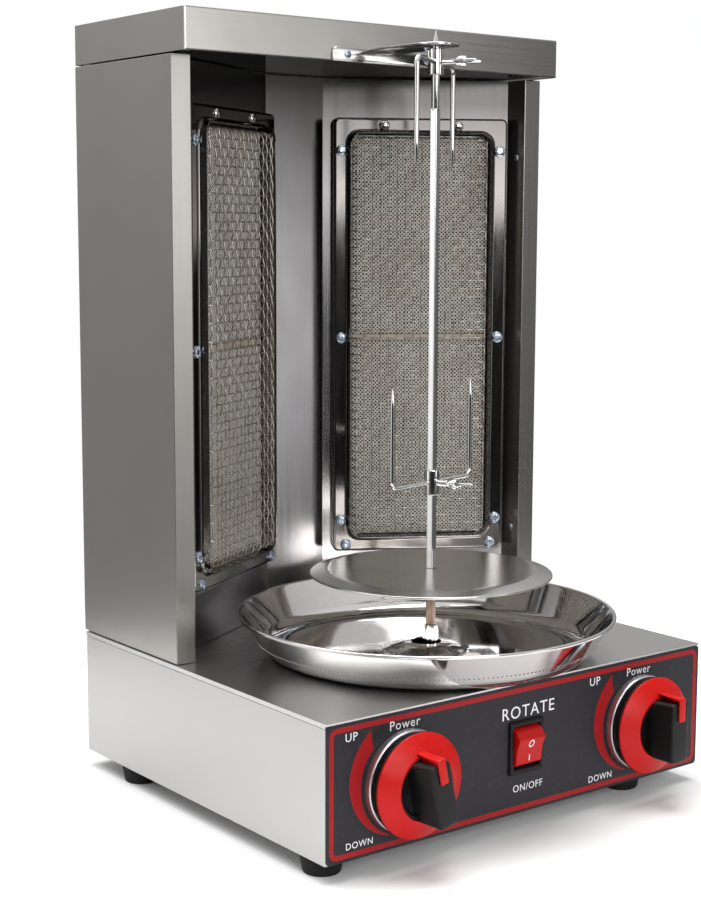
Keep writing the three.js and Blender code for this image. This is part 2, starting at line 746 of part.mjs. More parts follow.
// The red ring and the pointer that hooks over the grip.
function knobRing() {
  const back = knobBackY - 2 - gap;
  const top = back - knobRingDepth;
  const ring = turnedY([[knobRadius - 0.3, back], [knobRadius, back - 1.2], [knobRadius - 0.6, back - 1.8],
    [knobRingInner + 0.6, top], [knobRingInner, top], [knobRingInner, top + knobRingSheet],
    [knobRadius - 1.8, back], [knobRadius - 0.3, back]], 0, 0, fineFacets);
  const above = gripHalfHeight + gap;
  const front = -knobReach;
  const over = block(-pointerHalf, pointerHalf, front, top + 0.7 * knobRingSheet,
    above, above + pointerSheet);
  const down = block(-pointerHalf, pointerHalf, front, front + 1.4, above - 14, above + pointerSheet);
  return join(ring, over, down);
}

for (const [side, word, turn] of [[-1, 'left', leftKnobTurn], [1, 'right', 0]]) {
  const x = side * knobX;
  add(`knob_bezel_${word}`, bezel(x), polished);
  add(`gas_valve_${word}`, gasValve(side), brass);
  add(`valve_stem_${word}`, valveStem(x), steel);
  add(`gas_tube_${word}`, gasTube(side), brass);
  const knob = new THREE.Group();
  knob.position.set(x, 0, knobZ);
  knob.rotation.y = -turn * degree;
  broiler.add(knob);
  add(`knob_grip_${word}`, knobGrip(), blackPlastic, knob);
  add(`knob_ring_${word}`, knobRing(), redPlastic, knob);
}

// ---------------------------------------------------------------- switch and cord gland
function switchHousing() {
  const face = block(switchX - bezelHalfWidth, switchX + bezelHalfWidth, -switchStand, -gap,
    switchZ - bezelHalfHeight, switchZ + bezelHalfHeight);
  const [bodyX, bodyZ] = [bezelHalfWidth - 1.9, bezelHalfHeight - 2.5];
  const body = block(switchX - bodyX, switchX + bodyX, -1, switchBodyDepth,
    switchZ - bodyZ, switchZ + bodyZ);
  const pocket = block(switchX - rockerHalfWidth - gap, switchX + rockerHalfWidth + gap,
    -5, rockerPivotY + 8.5, switchZ - rockerRadius - gap, switchZ + rockerRadius + gap);
  const tabs = [-6, 6].map((x) => block(switchX + x - 2, switchX + x + 2,
    switchBodyDepth - 1, switchBodyDepth + 8, switchZ - 0.4, switchZ + 0.4));
  return cut(join(face, body, ...tabs), pocket);
}

// The rocker's ends are round about its pivot; its face is a shallow valley between two ridges.
function rocker() {
  const [backReach, sideReach, ridgeReach, ridgeHeight, valleyReach] = [3, 6.5, 10.5, 9, 9.2];
  const shape = new THREE.Shape();
  const start = Math.acos(-backReach / rockerRadius);
  const end = Math.acos(sideReach / rockerRadius);
  shape.absarc(0, 0, rockerRadius, start, end, true);
  shape.lineTo(ridgeReach, ridgeHeight);
  shape.lineTo(valleyReach, 0);
  shape.lineTo(ridgeReach, -ridgeHeight);
  shape.absarc(0, 0, rockerRadius, -end, -start, true);
  shape.closePath();
  const profile = new THREE.Shape(shape.getPoints(4));
  const solid = slabZ(profile, -rockerHalfWidth, rockerHalfWidth);
  // The profile is drawn with "out" along X and "up" along Y: out becomes -Y and up becomes Z.
  const place = new THREE.Matrix4().set(0, 0, -1, switchX, -1, 0, 0, rockerPivotY,
    0, 1, 0, switchZ, 0, 0, 0, 1);
  return solid.rotateZ(-rockerTilt * degree).applyMatrix4(place);
}

function cordGland() {
  const inside = baseDepth - sheet - 6;
  const outside = baseDepth + gap;
  const profile = [[3.6, inside], [6 - gap / 2, inside], [6 - gap / 2, outside], [9.5, outside],
    [9.5, outside + 5], [7.6, outside + 6], [6.4, baseDepth + glandReach],
    [3.6, baseDepth + glandReach], [3.6, inside]];
  return turnedY(profile, glandX, glandZ, 20);
}

add('switch_housing', switchHousing(), blackPlastic);
add('switch_rocker', rocker(), redPlastic);
add('cord_gland', cordGland(), blackPlastic);

// ---------------------------------------------------------------- drive
const shaftRadius = 4;
const motorBossRadius = 10;
const bracketTop = baseTop - sheet - gap;

function motor() {
  const profile = [[0, motorBottomZ], [motorRadius - 2, motorBottomZ], [motorRadius, motorBottomZ + 2],
    [motorRadius, motorTopZ], [motorBossRadius, motorTopZ], [motorBossRadius, motorTopZ + 4],
    [shaftRadius + gap, motorTopZ + 4], [shaftRadius + gap, motorTopZ - 12], [0, motorTopZ - 12]];
  return turnedZ(profile, 0, spitY, 32);
}

function motorBracket() {
  const [half, low] = [42, motorTopZ + gap];
  const plate = block(-half, half, spitY - 26, spitY + 26, low, low + 1.5);
  const legs = [-1, 1].map((side) => {
    const [near, far] = side < 0 ? [-half, -half + 1.5] : [half - 1.5, half];
    return block(near, far, spitY - 26, spitY + 26, low, bracketTop);
  });
  const feet = [-1, 1].map((side) => {
    const [near, far] = side < 0 ? [-half - 12, -half + 1] : [half - 1, half + 12];
    return block(near, far, spitY - 26, spitY + 26, bracketTop - 1.5, bracketTop);
  });
  const hole = rodZ(0, spitY, motorBossRadius + gap, low - 2, low + 4);
  return cut(join(plate, ...legs, ...feet), hole);
}

// Chromed socket with eight flutes, a square pocket for the spit and a plain shaft below.
function driveSocket() {
  const star = [];
  const points = 48;
  for (let i = 0; i < points; i += 1) {
    const angle = 2 * Math.PI * i / points;
    const radius = socketRadius - 0.35 + 0.35 * Math.cos(8 * angle);
    star.push(new THREE.Vector2(radius * Math.cos(angle), radius * Math.sin(angle)));
  }
  const head = slabZ(new THREE.Shape(star), baseTop + 0.5, socketTopZ);
  const shaft = rodZ(0, 0, shaftRadius, motorTopZ - 11, baseTop + 2, 16);
  const pocket = block(-pocketHalf, pocketHalf, -pocketHalf, pocketHalf,
    socketTopZ - socketDepth, socketTopZ + 2);
  return cut(join(head, shaft), pocket).rotateZ(spitTurn * degree).translate(0, spitY, 0);
}

function spit() {
  const half = spitSide / 2;
  const bar = block(-half, half, -half, half, socketTopZ - socketDepth + gap, spitNeckZ);
  const tipStart = tongueZ + bracketSheet + 0.8;
  const neck = turnedZ([[0, spitNeckZ - 2], [spitNeckRadius, spitNeckZ - 2],
    [spitNeckRadius, tipStart], [0.3, spitTipZ], [0, spitTipZ]], 0, 0, 16);
  const stopTop = discTopZ - discHubLength - gap;
  const stop = rodZ(0, 0, spitStopRadius, stopTop - spitStopHeight, stopTop, 20);
  return join(bar, neck, stop).rotateZ(spitTurn * degree).translate(0, spitY, 0);
}

function meatDisc() {
  const bore = collarBore;
  const under = discTopZ - discSheet;
  const hub = bore + discHubWall;
  const hubBottom = discTopZ - discHubLength;
  const profile = [[bore, discTopZ], [discFlatRadius, discTopZ], [discRadius, discTopZ - discDrop],
    [discRadius, discTopZ - discDrop - discSheet], [discFlatRadius, under], [hub, under],
    [hub, hubBottom], [bore, hubBottom], [bore, discTopZ]];
  return turnedZ(profile, 0, spitY, largeFacets);
}

function dripTray() {
  const floor = baseTop + gap;
  const inside = floor + traySheet;
  const dome = inside + trayDomeHeight;
  const [corner, cornerRise] = [8, 4.1];
  const wallTop = [trayRadius - 3.3, trayRimZ - 1.4];
  const upper = [[trayHoleRadius, dome], [trayHoleRadius + 6, dome - 0.4],
    [trayDomeRadius - 4, inside + 2], [trayDomeRadius, inside], [trayFloorRadius, inside]];
  for (let step = 1; step <= 3; step += 1) {
    const t = step / 3;
    upper.push([trayFloorRadius + corner * Math.sin(t * Math.PI / 3),
      inside + cornerRise * (1 - Math.cos(t * Math.PI / 2)) * 0.9]);
  }
  const rim = [[...wallTop], [trayRadius - 2.4, trayRimZ], [trayRadius - 0.6, trayRimZ],
    [trayRadius, trayRimZ - 0.9], [trayRadius - 0.5, trayRimZ - 2.6], [trayRadius - 2.1, trayRimZ - 2.8]];
  const lower = upper.slice().reverse().map(([radius, z], i, all) => {
    const onWall = i < 3;
    return [radius + (onWall ? 0.75 : 0) * traySheet * (i === 2 ? 0.4 : 1), z - (onWall ? 0.7 : 1) * traySheet];
  });
  return turnedZ([...upper, ...rim, ...lower, upper[0]], trayAside[0], spitY + trayAside[1], largeFacets);
}

// A collar with two bent wires; "up" is 1 when the tines point up and -1 when they point down.
function fork(up) {
  const half = collarHeight / 2;
  const collar = rodZ(0, 0, collarRadius, -half, half, 20);
  const tines = [-1, 1].flatMap((side) => {
    const tineEnd = up * (forkTine - 12);
    const bent = wire([new THREE.Vector3(side * (collarBore + 1), 0, 0),
      new THREE.Vector3(side * forkReach, 0, 0),
      new THREE.Vector3(side * forkReach, 0, tineEnd)], forkWire, 5, 8, 14);
    const [low, high] = [Math.min(tineEnd, up * forkTine), Math.max(tineEnd, up * forkTine)];
    const point = up > 0 ? rodZ(side * forkReach, 0, forkWire, low - 0.5, high, 12, 0.4)
      : rodZ(side * forkReach, 0, 0.4, low, high + 0.5, 12, forkWire);
    return [bent, point];
  });
  const bore = rodZ(0, 0, collarBore, -half - 1, half + 1, 20);
  const thread = rodY(0, 0, screwRadius + gap, -10, 0, 12);
  return cut(join(collar, ...tines), bore, thread);
}

function wingScrew() {
  const start = spitSide / 2 + 1.2;
  const hubStart = start + 11;
  const shank = rodY(0, 0, screwRadius, start, hubStart + 1, 12);
  const hub = rodY(0, 0, 3.6, hubStart, hubStart + 7, 16);
  const wing = new THREE.Shape();
  wing.moveTo(-2, hubStart + 1);
  wing.lineTo(2, hubStart + 1);
  wing.lineTo(wingReach, hubStart + 7);
  wing.lineTo(wingReach - 0.5, start + screwLength - 1);
  wing.lineTo(wingReach - 3, start + screwLength);
  wing.lineTo(2, hubStart + 6.5);
  wing.lineTo(-2, hubStart + 6.5);
  wing.lineTo(-wingReach + 3, start + screwLength);
  wing.lineTo(-wingReach + 0.5, start + screwLength - 1);
  wing.lineTo(-wingReach, hubStart + 7);
  wing.closePath();
  return join(shank, hub, slabZ(wing, -0.9, 0.9));
}

add('motor', motor(), iron);
add('motor_bracket', motorBracket(), zinc);
add('drive_socket', driveSocket(), polished);
add('spit', spit(), polished);
add('meat_disc', meatDisc(), steel);
add('drip_tray', dripTray(), polished);

for (const [word, z, turn, up] of [
  ['top', topForkZ, topForkTurn, -1],
  ['bottom', bottomForkZ, bottomForkTurn, 1],
]) {
  const place = new THREE.Group();
  place.position.set(0, spitY, z);
  place.rotation.z = (turn - 180) * degree;
  broiler.add(place);
  add(`${word}_fork`, fork(up), polished, place);
  add(`${word}_fork_screw`, wingScrew().rotateZ(Math.PI), polished, place);
}

// The object's own origin: middle of the footprint, knob pointers to hose nozzle.
const frontMost = -knobReach;
const backMost = baseDepth + inletReach;
broiler.position.y = -(frontMost + backMost) / 2;

export default broiler;
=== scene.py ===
"""Looks of a countertop vertical broiler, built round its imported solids.

Everything is in metres in the frame of the solids: +X to the right, +Y to the back, +Z up, with
the zero on the table under the middle of the footprint. Sizes in the classes are millimetres, and
MM turns them to metres where points are made.
"""

from __future__ import annotations

import logging
import math
from dataclasses import dataclass
from enum import Enum
from typing import Any

import bmesh
import bpy
import numpy as np
from mathutils import Matrix, Vector


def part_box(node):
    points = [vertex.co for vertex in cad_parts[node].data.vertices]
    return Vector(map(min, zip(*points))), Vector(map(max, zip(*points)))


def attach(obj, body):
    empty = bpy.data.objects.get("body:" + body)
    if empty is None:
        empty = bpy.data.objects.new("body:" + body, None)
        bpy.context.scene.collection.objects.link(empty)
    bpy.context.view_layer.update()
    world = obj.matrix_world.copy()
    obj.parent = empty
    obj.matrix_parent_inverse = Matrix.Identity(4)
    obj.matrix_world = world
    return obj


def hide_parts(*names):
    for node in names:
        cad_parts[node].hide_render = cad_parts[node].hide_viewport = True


Array = np.ndarray
Points = Array | list
Tree = bpy.types.NodeTree
MM = 0.001
LOG = logging.getLogger("broiler")
FRONT = ((1, 0, 0), (0, 0, 1), (0, -1, 0))  # a part drawn flat is stood up to face the front
BACK = ((-1, 0, 0), (0, 0, 1), (0, 1, 0))  # or the back

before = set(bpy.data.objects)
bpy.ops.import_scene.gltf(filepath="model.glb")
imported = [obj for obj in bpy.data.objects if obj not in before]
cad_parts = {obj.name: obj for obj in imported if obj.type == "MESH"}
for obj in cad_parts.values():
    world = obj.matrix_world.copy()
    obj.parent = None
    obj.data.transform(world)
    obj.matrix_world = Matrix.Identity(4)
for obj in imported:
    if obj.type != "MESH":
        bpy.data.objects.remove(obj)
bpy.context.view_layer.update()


class Side(Enum):
    """The two sides of the broiler. The value is the sign of X."""

    LEFT = -1
    RIGHT = 1

    @property
    def word(self) -> str:
        """The side's name as the node names have it."""
        return self.name.lower()


# ------------------------------------------------------------------------------ surfaces
@dataclass
class Surface:
    """A mesh being made.

    Attributes:
        points: corners, (n, 3), in millimetres.
        faces: index lists, one for each face.
        uv: a pattern place for each corner, (n, 2), or None.
    """

    points: Array
    faces: list[list[int]]
    uv: Array | None = None

    def placed(self, turn: float, place: Array) -> Surface:
        """The same surface turned about Z and then moved.

        Args:
            turn: radians, anticlockwise seen from above.
            place: where the surface's zero goes, in millimetres.

        Returns:
            A new surface.
        """
        c, s = math.cos(turn), math.sin(turn)
        spun = self.points @ np.array([[c, s, 0], [-s, c, 0], [0, 0, 1]])
        return Surface(spun + np.asarray(place, float), self.faces, self.uv)

    def stood(self, along: Array, up: Array, out: Array, place: Array = (0, 0, 0)) -> Surface:
        """The same surface with its X, Y and Z laid along three given directions.

        Args:
            along: where X goes.
            up: where Y goes.
            out: where Z goes.
            place: where the zero goes, in millimetres.

        Returns:
            A new surface.
        """
        axes = np.array([along, up, out], float)
        return Surface(self.points @ axes + np.asarray(place, float), self.faces, self.uv)


def joined(parts: list[Surface]) -> Surface:
    """One surface out of several.

    Args:
        parts: the surfaces; all have a uv or none has.

    Returns:
        Their corners and faces in one list.
    """
    starts = np.cumsum([0] + [len(p.points) for p in parts[:-1]])
    faces = [[i + int(s) for i in f] for p, s in zip(parts, starts) for f in p.faces]
    uv = None if parts[0].uv is None else np.vstack([p.uv for p in parts])
    return Surface(np.vstack([p.points for p in parts]), faces, uv)


def copies(part: Surface, places: Points) -> Surface:
    """The same small surface at many places.

    Args:
        part: the surface.
        places: (k, 3) offsets.

    Returns:
        All copies as one surface.
    """
    places = np.asarray(places, float)
    points = (part.points[None] + places[:, None]).reshape(-1, 3)
    steps = range(0, len(points), len(part.points))
    faces = [[i + s for i in f] for s in steps for f in part.faces]
    return Surface(points, faces)


def grid(points: Array, wrap_rows: bool = False, wrap_columns: bool = False) -> Surface:
    """Quads between the neighbours of a grid of points.

    Args:
        points: (rows, columns, 3).
        wrap_rows: the last row joins the first.
        wrap_columns: the last column joins the first.

    Returns:
        The surface.
    """
    rows, columns = points.shape[:2]
    r, c = np.meshgrid(
        np.arange(rows if wrap_rows else rows - 1),
        np.arange(columns if wrap_columns else columns - 1),
        indexing="ij",
    )
    r1, c1 = (r + 1) % rows, (c + 1) % columns
    quads = np.stack([r * columns + c, r * columns + c1, r1 * columns + c1, r1 * columns + c], -1)
    return Surface(points.reshape(-1, 3), quads.reshape(-1, 4).tolist())


def closed_ends(surface: Surface, columns: int) -> Surface:
    """Adds one flat face over the first row and one over the last row of a wrapped grid."""
    last = len(surface.points) - columns
    caps = [list(range(columns))[::-1], list(range(last, last + columns))]
    return Surface(surface.points, surface.faces + caps, surface.uv)


def lathe(profile: Points, steps: int = 96, wave: tuple[int, float] = (0, 0.0)) -> Surface:
    """A profile turned about Z: x = r cos t, y = r sin t, z = h.

    Args:
        profile: (n, 2) of radius and height, closed in the listed points or with its ends on the axis.
        steps: points round the turn.
        wave: number and depth of flutes; the radius loses depth * (1 - cos(number * t)) / 2.

    Returns:
        The surface.
    """
    profile = np.asarray(profile, float)
    t = np.arange(steps) * 2 * math.pi / steps
    flutes = wave[1] * (1 - np.cos(wave[0] * t)) / 2
    radius = np.maximum(profile[:, :1] - flutes * (profile[:, :1] > 1e-6), 0)
    height = np.broadcast_to(profile[:, 1:], radius.shape)
    return grid(np.stack([radius * np.cos(t), radius * np.sin(t), height], -1), wrap_columns=True)


def rounded(corners: Points, radius: float | Array, steps: int = 5) -> Array:
    """An open or closed profile with each inner corner replaced by a round one.

    Each corner P becomes a quadratic curve from P + a*r to P + b*r, with a and b the unit
    directions to its neighbours: (1-t)^2 start + 2t(1-t) P + t^2 end.

    Args:
        corners: (n, d) points; the first and last stay sharp.
        radius: how far from the corner the curve starts, one value or one for each inner corner.
        steps: points on each curve.

    Returns:
        (m, d) points.
    """
    corners = np.asarray(corners, float)
    inner = corners[1:-1]
    back, ahead = corners[:-2] - inner, corners[2:] - inner
    lengths = np.linalg.norm(back, axis=1), np.linalg.norm(ahead, axis=1)
    reach = np.minimum(np.broadcast_to(radius, len(inner)), np.minimum(*lengths) * 0.49)[:, None]
    start = inner + back / lengths[0][:, None] * reach
    end = inner + ahead / lengths[1][:, None] * reach
    t = np.linspace(0, 1, steps)[None, :, None]
    curve = (1 - t) ** 2 * start[:, None] + 2 * t * (1 - t) * inner[:, None] + t**2 * end[:, None]
    return np.vstack([corners[:1], curve.reshape(-1, corners.shape[1]), corners[-1:]])


def outline(width: float, height: float, radius: float, steps: int = 8) -> Array:
    """A rectangle with round corners, anticlockwise about the zero, (4 * steps, 2)."""
    radius = max(radius, 0.01)
    quarter = np.linspace(0, math.pi / 2, steps)
    angle = (np.arange(4)[:, None] * math.pi / 2 + quarter).ravel()
    x = np.repeat([1, -1, -1, 1], steps) * (width / 2 - radius) + radius * np.cos(angle)
    y = np.repeat([1, 1, -1, -1], steps) * (height / 2 - radius) + radius * np.sin(angle)
    return np.stack([x, y], -1)


def ring_stack(rings: list[tuple], closed: bool = False, steps: int = 8) -> Surface:
    """A surface through round-cornered rectangles, each (width, height, radius, level).

    Args:
        rings: (n, 4); the rectangles lie in X and Y, and the level is Z.
        closed: the last ring joins the first, as round a window; otherwise both ends get a face.
        steps: points at each corner.

    Returns:
        The surface.
    """
    rows = [np.column_stack([outline(w, h, r, steps), np.full(4 * steps, z)]) for w, h, r, z in rings]
    body = grid(np.array(rows), wrap_rows=closed, wrap_columns=True)
    return body if closed else closed_ends(body, 4 * steps)


def nested(size: tuple[float, float], rings: list[tuple[float, float, float]]) -> list[tuple]:
    """Rings about one rectangle for ring_stack.

    Args:
        size: the rectangle's width and height.
        rings: (growth of both sides, corner radius, level) of each ring.

    Returns:
        (width, height, radius, level) of each ring.
    """
    return [(size[0] + grow, size[1] + grow, radius, level) for grow, radius, level in rings]


def slab(shape: Array, thickness: float, edge: float) -> Surface:
    """A flat plate with softened edges: the outline drawn in by edge, full, full, drawn in.

    Args:
        shape: (n, 2) outline, anticlockwise.
        thickness: from z = 0 to this.
        edge: the size of the softened edge.

    Returns:
        The surface.
    """
    ahead = np.roll(shape, -1, 0) - shape
    ahead /= np.linalg.norm(ahead, axis=1)[:, None] + 1e-9
    normal = np.stack([ahead[:, 1], -ahead[:, 0]], -1)
    normal = normal + np.roll(normal, 1, 0)
    normal /= np.linalg.norm(normal, axis=1)[:, None] + 1e-9
    angle = np.linspace(0, math.pi / 2, 4)
    inset = np.concatenate([edge * (1 - np.sin(angle)), edge * (1 - np.cos(angle))])
    level = np.concatenate([edge * (1 - np.cos(angle)), thickness - edge * (1 - np.sin(angle))])
    flat = shape[None] - normal[None] * inset[:, None, None]
    rows = np.concatenate([flat, np.broadcast_to(level[:, None, None], (8, len(shape), 1))], -1)
    return closed_ends(grid(rows, wrap_columns=True), len(shape))


def wire(path: Array, radius: float | Array, side: Array, sides: int = 12) -> Surface:
    """A round wire: circles set square to a path that lies in one plane.

    Each point is path + r (cos a * side + sin a * (tangent x side)).

    Args:
        path: (n, 3) points.
        radius: one value or one for each point.
        side: unit vector square to the path's plane, or one for each point.
        sides: points round the wire.

    Returns:
        The closed surface.
    """
    path = np.asarray(path, float)
    tangent = np.gradient(path, axis=0)
    tangent /= np.linalg.norm(tangent, axis=1)[:, None]
    side = np.broadcast_to(np.asarray(side, float), path.shape)
    across = np.cross(tangent, side)
    angle = np.arange(sides) * 2 * math.pi / sides
    thick = np.broadcast_to(radius, len(path))[:, None, None]
    turn = np.cos(angle)[None, :, None] * side[:, None] + np.sin(angle)[None, :, None] * across[:, None]
    return closed_ends(grid(path[:, None] + thick * turn, wrap_columns=True), sides)


def dome(radius: float, height: float, skirt: float, sides: int = 24, steps: int = 6) -> Array:
    """Profile of a domed head: up the skirt, then a quarter ellipse to the axis, then closed below."""
    t = np.linspace(0, math.pi / 2, steps)
    cap = np.stack([radius * np.cos(t), skirt + (height - skirt) * np.sin(t)], -1)
    return np.vstack([[0, 0], [radius, 0], cap])


def cross_head(radius: float, height: float) -> Surface:
    """A pan head with a cross recess, its face at +Z.

    The face is a grid in radius and angle: z = height (1 - 0.45 (r/R)^4), less a pit of 40% of the
    height where the point is within 0.16 R of either arm's middle line and inside 0.62 R.
    """
    r = np.concatenate([[0], np.linspace(0.06, 0.62, 8), [0.66, 0.8, 0.9, 0.97, 1.0, 1.0]]) * radius
    t = np.arange(40) * 2 * math.pi / 40
    rr, tt = np.meshgrid(r, t, indexing="ij")
    x, y = rr * np.cos(tt), rr * np.sin(tt)
    arm = np.minimum(np.abs(x), np.abs(y)) < 0.16 * radius
    z = height * (1 - 0.45 * (rr / radius) ** 4) - 0.4 * height * (arm & (rr < 0.64 * radius))
    z[-1] = 0
    return closed_ends(grid(np.stack([x, y, z], -1), wrap_columns=True), 40)


def put(
    name: str,
    surface: Surface,
    finish: Finish,
    body: str,
    stands_for: tuple[str, ...] = (),
    crease: float = 32,
) -> bpy.types.Object:
    """Makes a piece of the object out of a surface in millimetres.

    Args:
        name: the piece's name.
        surface: its corners and faces.
        finish: its finish.
        body: the CAD body it moves with.
        stands_for: CAD nodes that it replaces.
        crease: edges sharper than this many degrees stay sharp in the shading.

    Returns:
        The object, at the origin, with its place in its mesh.
    """
    mesh = bpy.data.meshes.new(name)
    mesh.from_pydata((surface.points * MM).tolist(), [], surface.faces)
    if surface.uv is not None:
        corner = np.empty(len(mesh.loops), np.int32)
        mesh.loops.foreach_get("vertex_index", corner)
        layer = mesh.uv_layers.new(name="Pattern")
        layer.data.foreach_set("uv", surface.uv[corner].astype(np.float32).ravel())
    loose = bmesh.new()
    loose.from_mesh(mesh)
    bmesh.ops.remove_doubles(loose, verts=loose.verts, dist=2e-6)
    bmesh.ops.recalc_face_normals(loose, faces=loose.faces)
    loose.to_mesh(mesh)
    loose.free()
    mesh.polygons.foreach_set("use_smooth", np.ones(len(mesh.polygons), bool))
    mesh.set_sharp_from_angle(angle=math.radians(crease))
    piece = bpy.data.objects.new(name, mesh)
    bpy.context.collection.objects.link(piece)
    mesh.materials.append(finish.material())
    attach(piece, body)
    if stands_for:
        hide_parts(*stands_for)
    LOG.info("%s: %d faces on %s", name, len(mesh.polygons), body)
    return piece


def dress(finish: Finish, *nodes: str) -> None:
    """Gives CAD nodes, whose shape is kept, their finish."""
    for name in nodes:
        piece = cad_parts[name]
        for slot in piece.material_slots:
            slot.material = finish.material()
        LOG.info("%s: %s", name, finish.name)


def soften(node: str, width: float) -> None:
    """Rounds the folds of a kept CAD sheet: its loose triangles are welded, then bevelled.

    Args:
        node: the CAD node.
        width: the bevel's width in millimetres.
    """
    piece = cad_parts[node]
    weld = piece.modifiers.new("weld", "WELD")
    weld.merge_threshold = 1e-5
    bevel = piece.modifiers.new("folds", "BEVEL")
    bevel.width = width * MM
    bevel.segments = 2
    bevel.limit_method = "ANGLE"
    bevel.angle_limit = math.radians(40)


def centre_of(node: str) -> Array:
    """Middle of a CAD node's box, in millimetres."""
    low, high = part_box(node)
    return (np.array(low) + np.array(high)) / 2 / MM


def low_of(node: str) -> Array:
    """Lowest corner of a CAD node's box, in millimetres."""
    return np.array(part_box(node)[0]) / MM


def high_of(node: str) -> Array:
    """Highest corner of a CAD node's box, in millimetres."""
    return np.array(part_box(node)[1]) / MM


# ------------------------------------------------------------------------------ finishes
def colour(code: str) -> tuple[float, float, float, float]:
    """A linear colour from an sRGB hex code.

    Args:
        code: six hex digits after a hash.

    Returns:
        Red, green, blue and 1.
    """
    parts = [int(code[i : i + 2], 16) / 255 for i in (1, 3, 5)]
    linear = [p / 12.92 if p <= 0.04045 else ((p + 0.055) / 1.055) ** 2.4 for p in parts]
    return (*linear, 1.0)


def feed(tree: Tree, node: Any, links: dict) -> None:
    """Fills a node's inputs, by name or number: an output is linked, any other value is set."""
    for key, value in links.items():
        if isinstance(value, bpy.types.NodeSocket):
            tree.links.new(value, node.inputs[key])
        else:
            node.inputs[key].default_value = value


def shade(tree: Tree, kind: str, links: dict | None = None, **settings: Any) -> Any:
    """Adds one shader node.

    Args:
        tree: the material's node tree.
        kind: the node's type, without its "ShaderNode" start.
        links: input name or number to a value or to another node's output.
        settings: the node's own properties.

    Returns:
        The node.
    """
    made = tree.nodes.new("ShaderNode" + kind)
    for key, value in settings.items():
        setattr(made, key, value)
    feed(tree, made, links or {})
    return made


@dataclass(frozen=True)
class Finish:
    """What every finish has: a name, the record's slot, a colour and a roughness."""

    name: str
    slot: str
    colour: str
    roughness: float = 0.4

    def material(self) -> bpy.types.Material:
        """The finish's material, made once."""
        made = bpy.data.materials.get(self.name)
        if made is None:
            made = bpy.data.materials.new(self.name)
            made.use_nodes = True
            made.diffuse_color = colour(self.colour)
            tree = made.node_tree
            tree.nodes.clear()
            plain = {"Base Color": colour(self.colour), "Roughness": self.roughness}
            shader = shade(tree, "BsdfPrincipled", plain)
            self.build(tree, shader)
            shade(tree, "OutputMaterial", {"Surface": shader.outputs[0]})
        return made

    def build(self, tree: Tree, shader: Any) -> None:
        """Adds the finish's own nodes round the shader."""
        raise NotImplementedError

    def noise(self, tree: Tree, size: tuple[float, float, float], detail: float = 3,
              turn: float = 0.0) -> Any:
        """Noise whose blotches have the given sizes.

        Args:
            tree: the node tree.
            size: blotch size along X, Y and Z in millimetres.
            detail: octaves.
            turn: radians about Z that the pattern is turned first.

        Returns:
            The noise's factor output.
        """
        place = shade(tree, "TexCoord").outputs["Object"]
        if turn:
            place = shade(tree, "Mapping", {"Vector": place, "Rotation": (0, 0, turn)}).outputs[0]
        scale = tuple(1 / (s * MM) for s in size)
        place = shade(tree, "Mapping", {"Vector": place, "Scale": scale}).outputs[0]
        made = shade(tree, "TexNoise", {"Vector": place, "Scale": 1.0, "Detail": detail, "Roughness": 0.6})
        return made.outputs["Fac"]

    def ranged(self, tree: Tree, value: Any, low: float, high: float,
               start: float = 0.3, end: float = 0.7) -> Any:
        """The value carried from start..end to low..high."""
        links = {"Value": value, "From Min": start, "From Max": end, "To Min": low, "To Max": high}
        return shade(tree, "MapRange", links).outputs[0]

    def mixed(self, tree: Tree, amount: Any, first: Any, second: Any) -> Any:
        """A colour between two by amount."""
        links = {0: amount, 6: first, 7: second}
        return shade(tree, "Mix", links, data_type="RGBA").outputs[2]

    def bumped(self, tree: Tree, height: Any, depth: float, under: Any = None) -> Any:
        """A bump's normal, depth in millimetres for a height of 0 to 1."""
        links = {"Height": height, "Distance": depth * MM, "Strength": 1.0}
        if under is not None:
            links["Normal"] = under
        return shade(tree, "Bump", links).outputs[0]


@dataclass(frozen=True)
class Stainless(Finish):
    """Cold rolled stainless sheet, ground with a belt so that fine lines run one way.

    The lines spread reflections across themselves, and handling leaves large faint clouds. Real
    lines are about 0.05 mm apart; they are drawn at the grain's size so that they show.

    Attributes:
        grain: size of a grain mark along X, Y and Z in millimetres.
        turn: radians about Z of the sheet that the grain lies on.
        depth: depth of the marks in millimetres.
        spread: how much the roughness goes up and down.
        stain: colour of the clouds, or of heat tint.
        stained: the clouds' greatest strength.
        cloud: size of a cloud in millimetres.
        ripple: depth of the slow waviness of thin sheet in millimetres.
    """

    grain: tuple[float, float, float] = (90, 0.5, 0.5)
    turn: float = 0.0
    depth: float = 0.004
    spread: float = 0.08
    stain: str = "#8d877f"
    stained: float = 0.35
    cloud: float = 70
    ripple: float = 0.0

    def build(self, tree: Tree, shader: Any) -> None:
        """Grain into roughness, colour and bump; clouds into colour and roughness."""
        grain = self.noise(tree, self.grain, 4, self.turn)
        cloud = self.noise(tree, (self.cloud, self.cloud, self.cloud * 1.3), 3)
        low, high = self.roughness - self.spread, self.roughness + self.spread
        rough = self.ranged(tree, grain, low, high)
        extra = self.ranged(tree, cloud, 0.0, self.spread * 1.2, 0.45, 0.75)
        total = shade(tree, "Math", {0: rough, 1: extra}, operation="ADD").outputs[0]
        amount = self.ranged(tree, cloud, 0.0, self.stained, 0.42, 0.72)
        tinted = self.mixed(tree, amount, colour(self.colour), colour(self.stain))
        dark = self.ranged(tree, grain, 0.9, 1.0, 0.3, 0.6)
        base = self.mixed(tree, dark, colour(self.stain), tinted)
        wavy = self.bumped(tree, self.noise(tree, (60, 60, 85), 1), self.ripple) if self.ripple else None
        feed(tree, shader, {"Base Color": base, "Roughness": total, "Metallic": 1.0,
                            "Normal": self.bumped(tree, grain, self.depth, wavy)})


